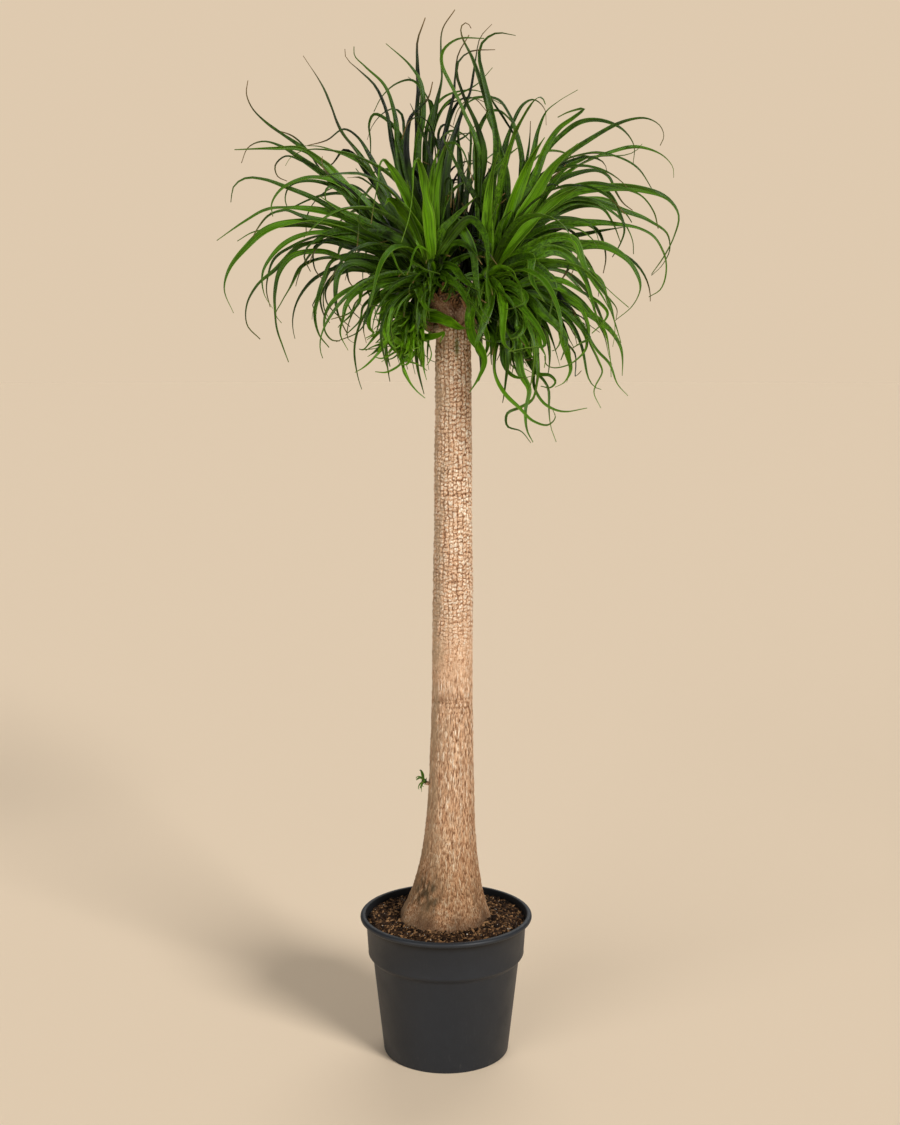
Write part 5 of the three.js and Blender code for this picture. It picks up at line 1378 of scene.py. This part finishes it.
def make_crumbs():
    """Loose crumbs, bark chips and white specks on the soil."""
    bm = bmesh.new()
    tint = bm.verts.layers.float.new("crumb_tint")
    centre = trunk_middle(0)
    inner = trunk_radius(SOIL_LINE) - 2
    for i in range(CRUMBS):
        turn = TURN * (i * GOLDEN_TURN % 1)
        share = chance(i, 1) ** (3 if i % 6 == 0 else 1)
        radius = math.sqrt(between(inner**2, (SOIL_EDGE - 3) ** 2, share))
        size, long, shade = crumb_look(i)
        heaped = 3.2 * math.exp(-(radius - inner) / 5) * chance(i, 12)
        x = centre * ease(SOIL_EDGE, inner, radius) + radius * math.cos(turn)
        z = SOIL_LEVEL + SOIL_MOUND * ease(SOIL_EDGE, inner, radius) + size * 0.25 + heaped
        place = (
            Matrix.Translation((x * MM, radius * math.sin(turn) * MM, z * MM))
            @ Matrix.Rotation(TURN * chance(i, 9), 4, "Z")
            @ Matrix.Rotation(between(-0.7, 0.7, chance(i, 10)), 4, "Y")
            @ Matrix.Diagonal((size * long * MM, size * MM, size * between(0.5, 0.95, chance(i, 11)) * MM, 1))
        )
        crumb = bmesh.ops.create_icosphere(bm, subdivisions=1, radius=1, matrix=place)
        for vert in crumb["verts"]:
            grit = 1 + 0.35 * noise.noise(vert.co / MM / 1.4 + Vector((i, 0, 0)))
            vert.co = place.translation + (vert.co - place.translation) * grit
            vert[tint] = shade
    finish_piece(bm, "soil_crumbs", SOIL)


# ---------- Old leaf sheaths ----------


TRUNK_SCALES = 170
BRANCH_SCALES = 34
SCALE_HEIGHTS = (1286, 1334)
# What the scales round the trunk and on a branch are like, and the first of their six draws.
ON_TRUNK = dict(rise=(35, 95), length=(10, 26), dip=10, bend=(-50, 25), width=(5, 11), twist=25, draw=62)
ON_BRANCH = dict(rise=(10, 85), length=(14, 38), dip=12, bend=(10, -60), width=(7, 14), twist=30, draw=72)


def grow_scale(bm, layers, kind, root, angle, i, number, size=1):
    """A short dry scale, cupped round what it grew on."""
    draws = [chance(i, kind["draw"] + k) for k in range(6)]
    rise = between(*kind["rise"], draws[0])
    blade = dict(
        azimuth=math.degrees(angle), length=between(*kind["length"], draws[1]) * size,
        slopes=[rise, rise - kind["dip"], rise + between(*kind["bend"], draws[2])], curl=0, sway=0,
        twist=between(-kind["twist"], kind["twist"], draws[4]),
    )
    full_width = between(*kind["width"], draws[3]) * size
    grid = bmesh.ops.create_grid(bm, x_segments=2, y_segments=4, size=0.5, calc_uvs=True)
    stations, _ = grown_stations(blade, root)
    for vert in grid["verts"]:
        side, t = vert.co.x * 2, vert.co.y + 0.5
        point, across, up = stations[round(t * BLADE_STEPS)]
        width = full_width * (1 - 0.75 * t) * between(0.9, 1.1, chance(number, 81 + t))
        cup = 0.16 * width * side * side
        vert.co = (point + across * (side * width / 2) + up * cup) * MM
        vert[layers["youth"]], vert[layers["tint"]] = draws[5], chance(number, 82)


def make_sheaths():
    """Dry brown remains of old leaves round the trunk's top and the branches."""
    bm, layers = blade_mesh()
    for i in range(TRUNK_SCALES):
        angle, z = TURN * (i * GOLDEN_TURN % 1), between(*SCALE_HEIGHTS, chance(i, 61))
        out = trunk_radius(z) - 3
        root = Vector((LEAN + out * math.cos(angle), out * math.sin(angle), z))
        grow_scale(bm, layers, ON_TRUNK, root, angle, i, i)
    number = TRUNK_SCALES
    for rosette in ROSETTES:
        size = max(rosette["crown"]["radius"] / CROWN["radius"], 0.35)
        out = rosette["crown"]["radius"] * 0.9
        for i in range(int(BRANCH_SCALES * size)):
            share = between(0.55, 1.05, chance(i + number, 71))
            angle = TURN * (i * GOLDEN_TURN % 1)
            root = fork_of(rosette).lerp(beside_trunk(rosette), share)
            root += Vector((out * math.cos(angle), out * math.sin(angle), 0))
            grow_scale(bm, layers, ON_BRANCH, root, angle, i, number + i, size)
        number += 40
    thicken(finish_piece(bm, "old_sheaths", DRY_SHEATH), "sheath_thickness")


# ---------- Stage, light and camera ----------


# Every light is even over the whole floor, so that it meets the backdrop without an edge.
AMBIENT = (0.13, 0.127, 0.122)
SUNS = {  # where each shines from, its strength, colour and how wide it is
    "key": ((0.68, -0.82, 0.55), 2.65, (1.0, 0.98, 0.95), 20),
    "fill": ((-0.7, -0.95, 0.3), 1.5, (1.0, 0.98, 0.96), 45),
    "back": ((0.2, 0.9, 0.8), 0.75, (1.0, 0.99, 0.97), 50),
}
FLOOR = paint(247, 226, 199)
FLOOR_RADIUS = 60  # in metres
LENS, SENSOR = 50, 36
LOOK_DOWN = 7.75  # degrees below level


def backdrop_color():
    """The floor's own brightness under the lights."""
    made = []
    for channel in range(3):
        light = AMBIENT[channel]
        for place, strength, color, _ in SUNS.values():
            light += strength * color[channel] * Vector(place).normalized().z / math.pi
        made.append(FLOOR[channel] * light)
    return (*made, 1)


def make_stage():
    material, tree, shader = new_material("pale floor")
    set_surface(tree, shader, FLOOR, 1, 0)
    bm = bmesh.new()
    bmesh.ops.create_circle(bm, cap_ends=True, segments=96, radius=FLOOR_RADIUS)
    mesh = bpy.data.meshes.new("floor")
    bm.to_mesh(mesh)
    bm.free()
    mesh.materials.append(material)
    floor = bpy.data.objects.new("floor", mesh)
    bpy.context.scene.collection.objects.link(floor)


def make_light():
    world = bpy.data.worlds.new("studio")
    world.use_nodes = True
    tree = world.node_tree
    lit = tree.nodes["Background"]
    lit.inputs["Color"].default_value = (*AMBIENT, 1)
    shown = add_node(tree, "ShaderNodeBackground", {"Color": backdrop_color()})
    straight = add_node(tree, "ShaderNodeLightPath").outputs["Is Camera Ray"]
    mixed = add_node(tree, "ShaderNodeMixShader", {0: straight, 1: lit.outputs[0], 2: shown.outputs[0]})
    tree.links.new(mixed.outputs[0], tree.nodes["World Output"].inputs["Surface"])
    bpy.context.scene.world = world
    for name, (place, strength, color, width) in SUNS.items():
        data = bpy.data.lights.new(name, "SUN")
        data.energy, data.color, data.angle = strength, color, math.radians(width)
        sun = bpy.data.objects.new(name, data)
        sun.rotation_euler = (-Vector(place)).to_track_quat("-Z", "Y").to_euler()
        bpy.context.scene.collection.objects.link(sun)


def make_camera():
    data = bpy.data.cameras.new("camera")
    data.lens, data.sensor_width, data.sensor_fit = LENS, SENSOR, "AUTO"
    camera = bpy.data.objects.new("camera", data)
    camera.location = EYE * MM
    camera.rotation_euler = (math.radians(90 - LOOK_DOWN), 0, 0)
    bpy.context.scene.collection.objects.link(camera)
    bpy.context.scene.camera = camera


# ---------- The whole plant ----------

make_camera()
make_stage()
make_light()
bpy.context.scene.view_settings.view_transform = "Standard"
make_pot()
make_soil()
make_crumbs()
make_trunk()
make_crowns()
make_sheaths()
for one in ROSETTES:
    make_rosette(one)
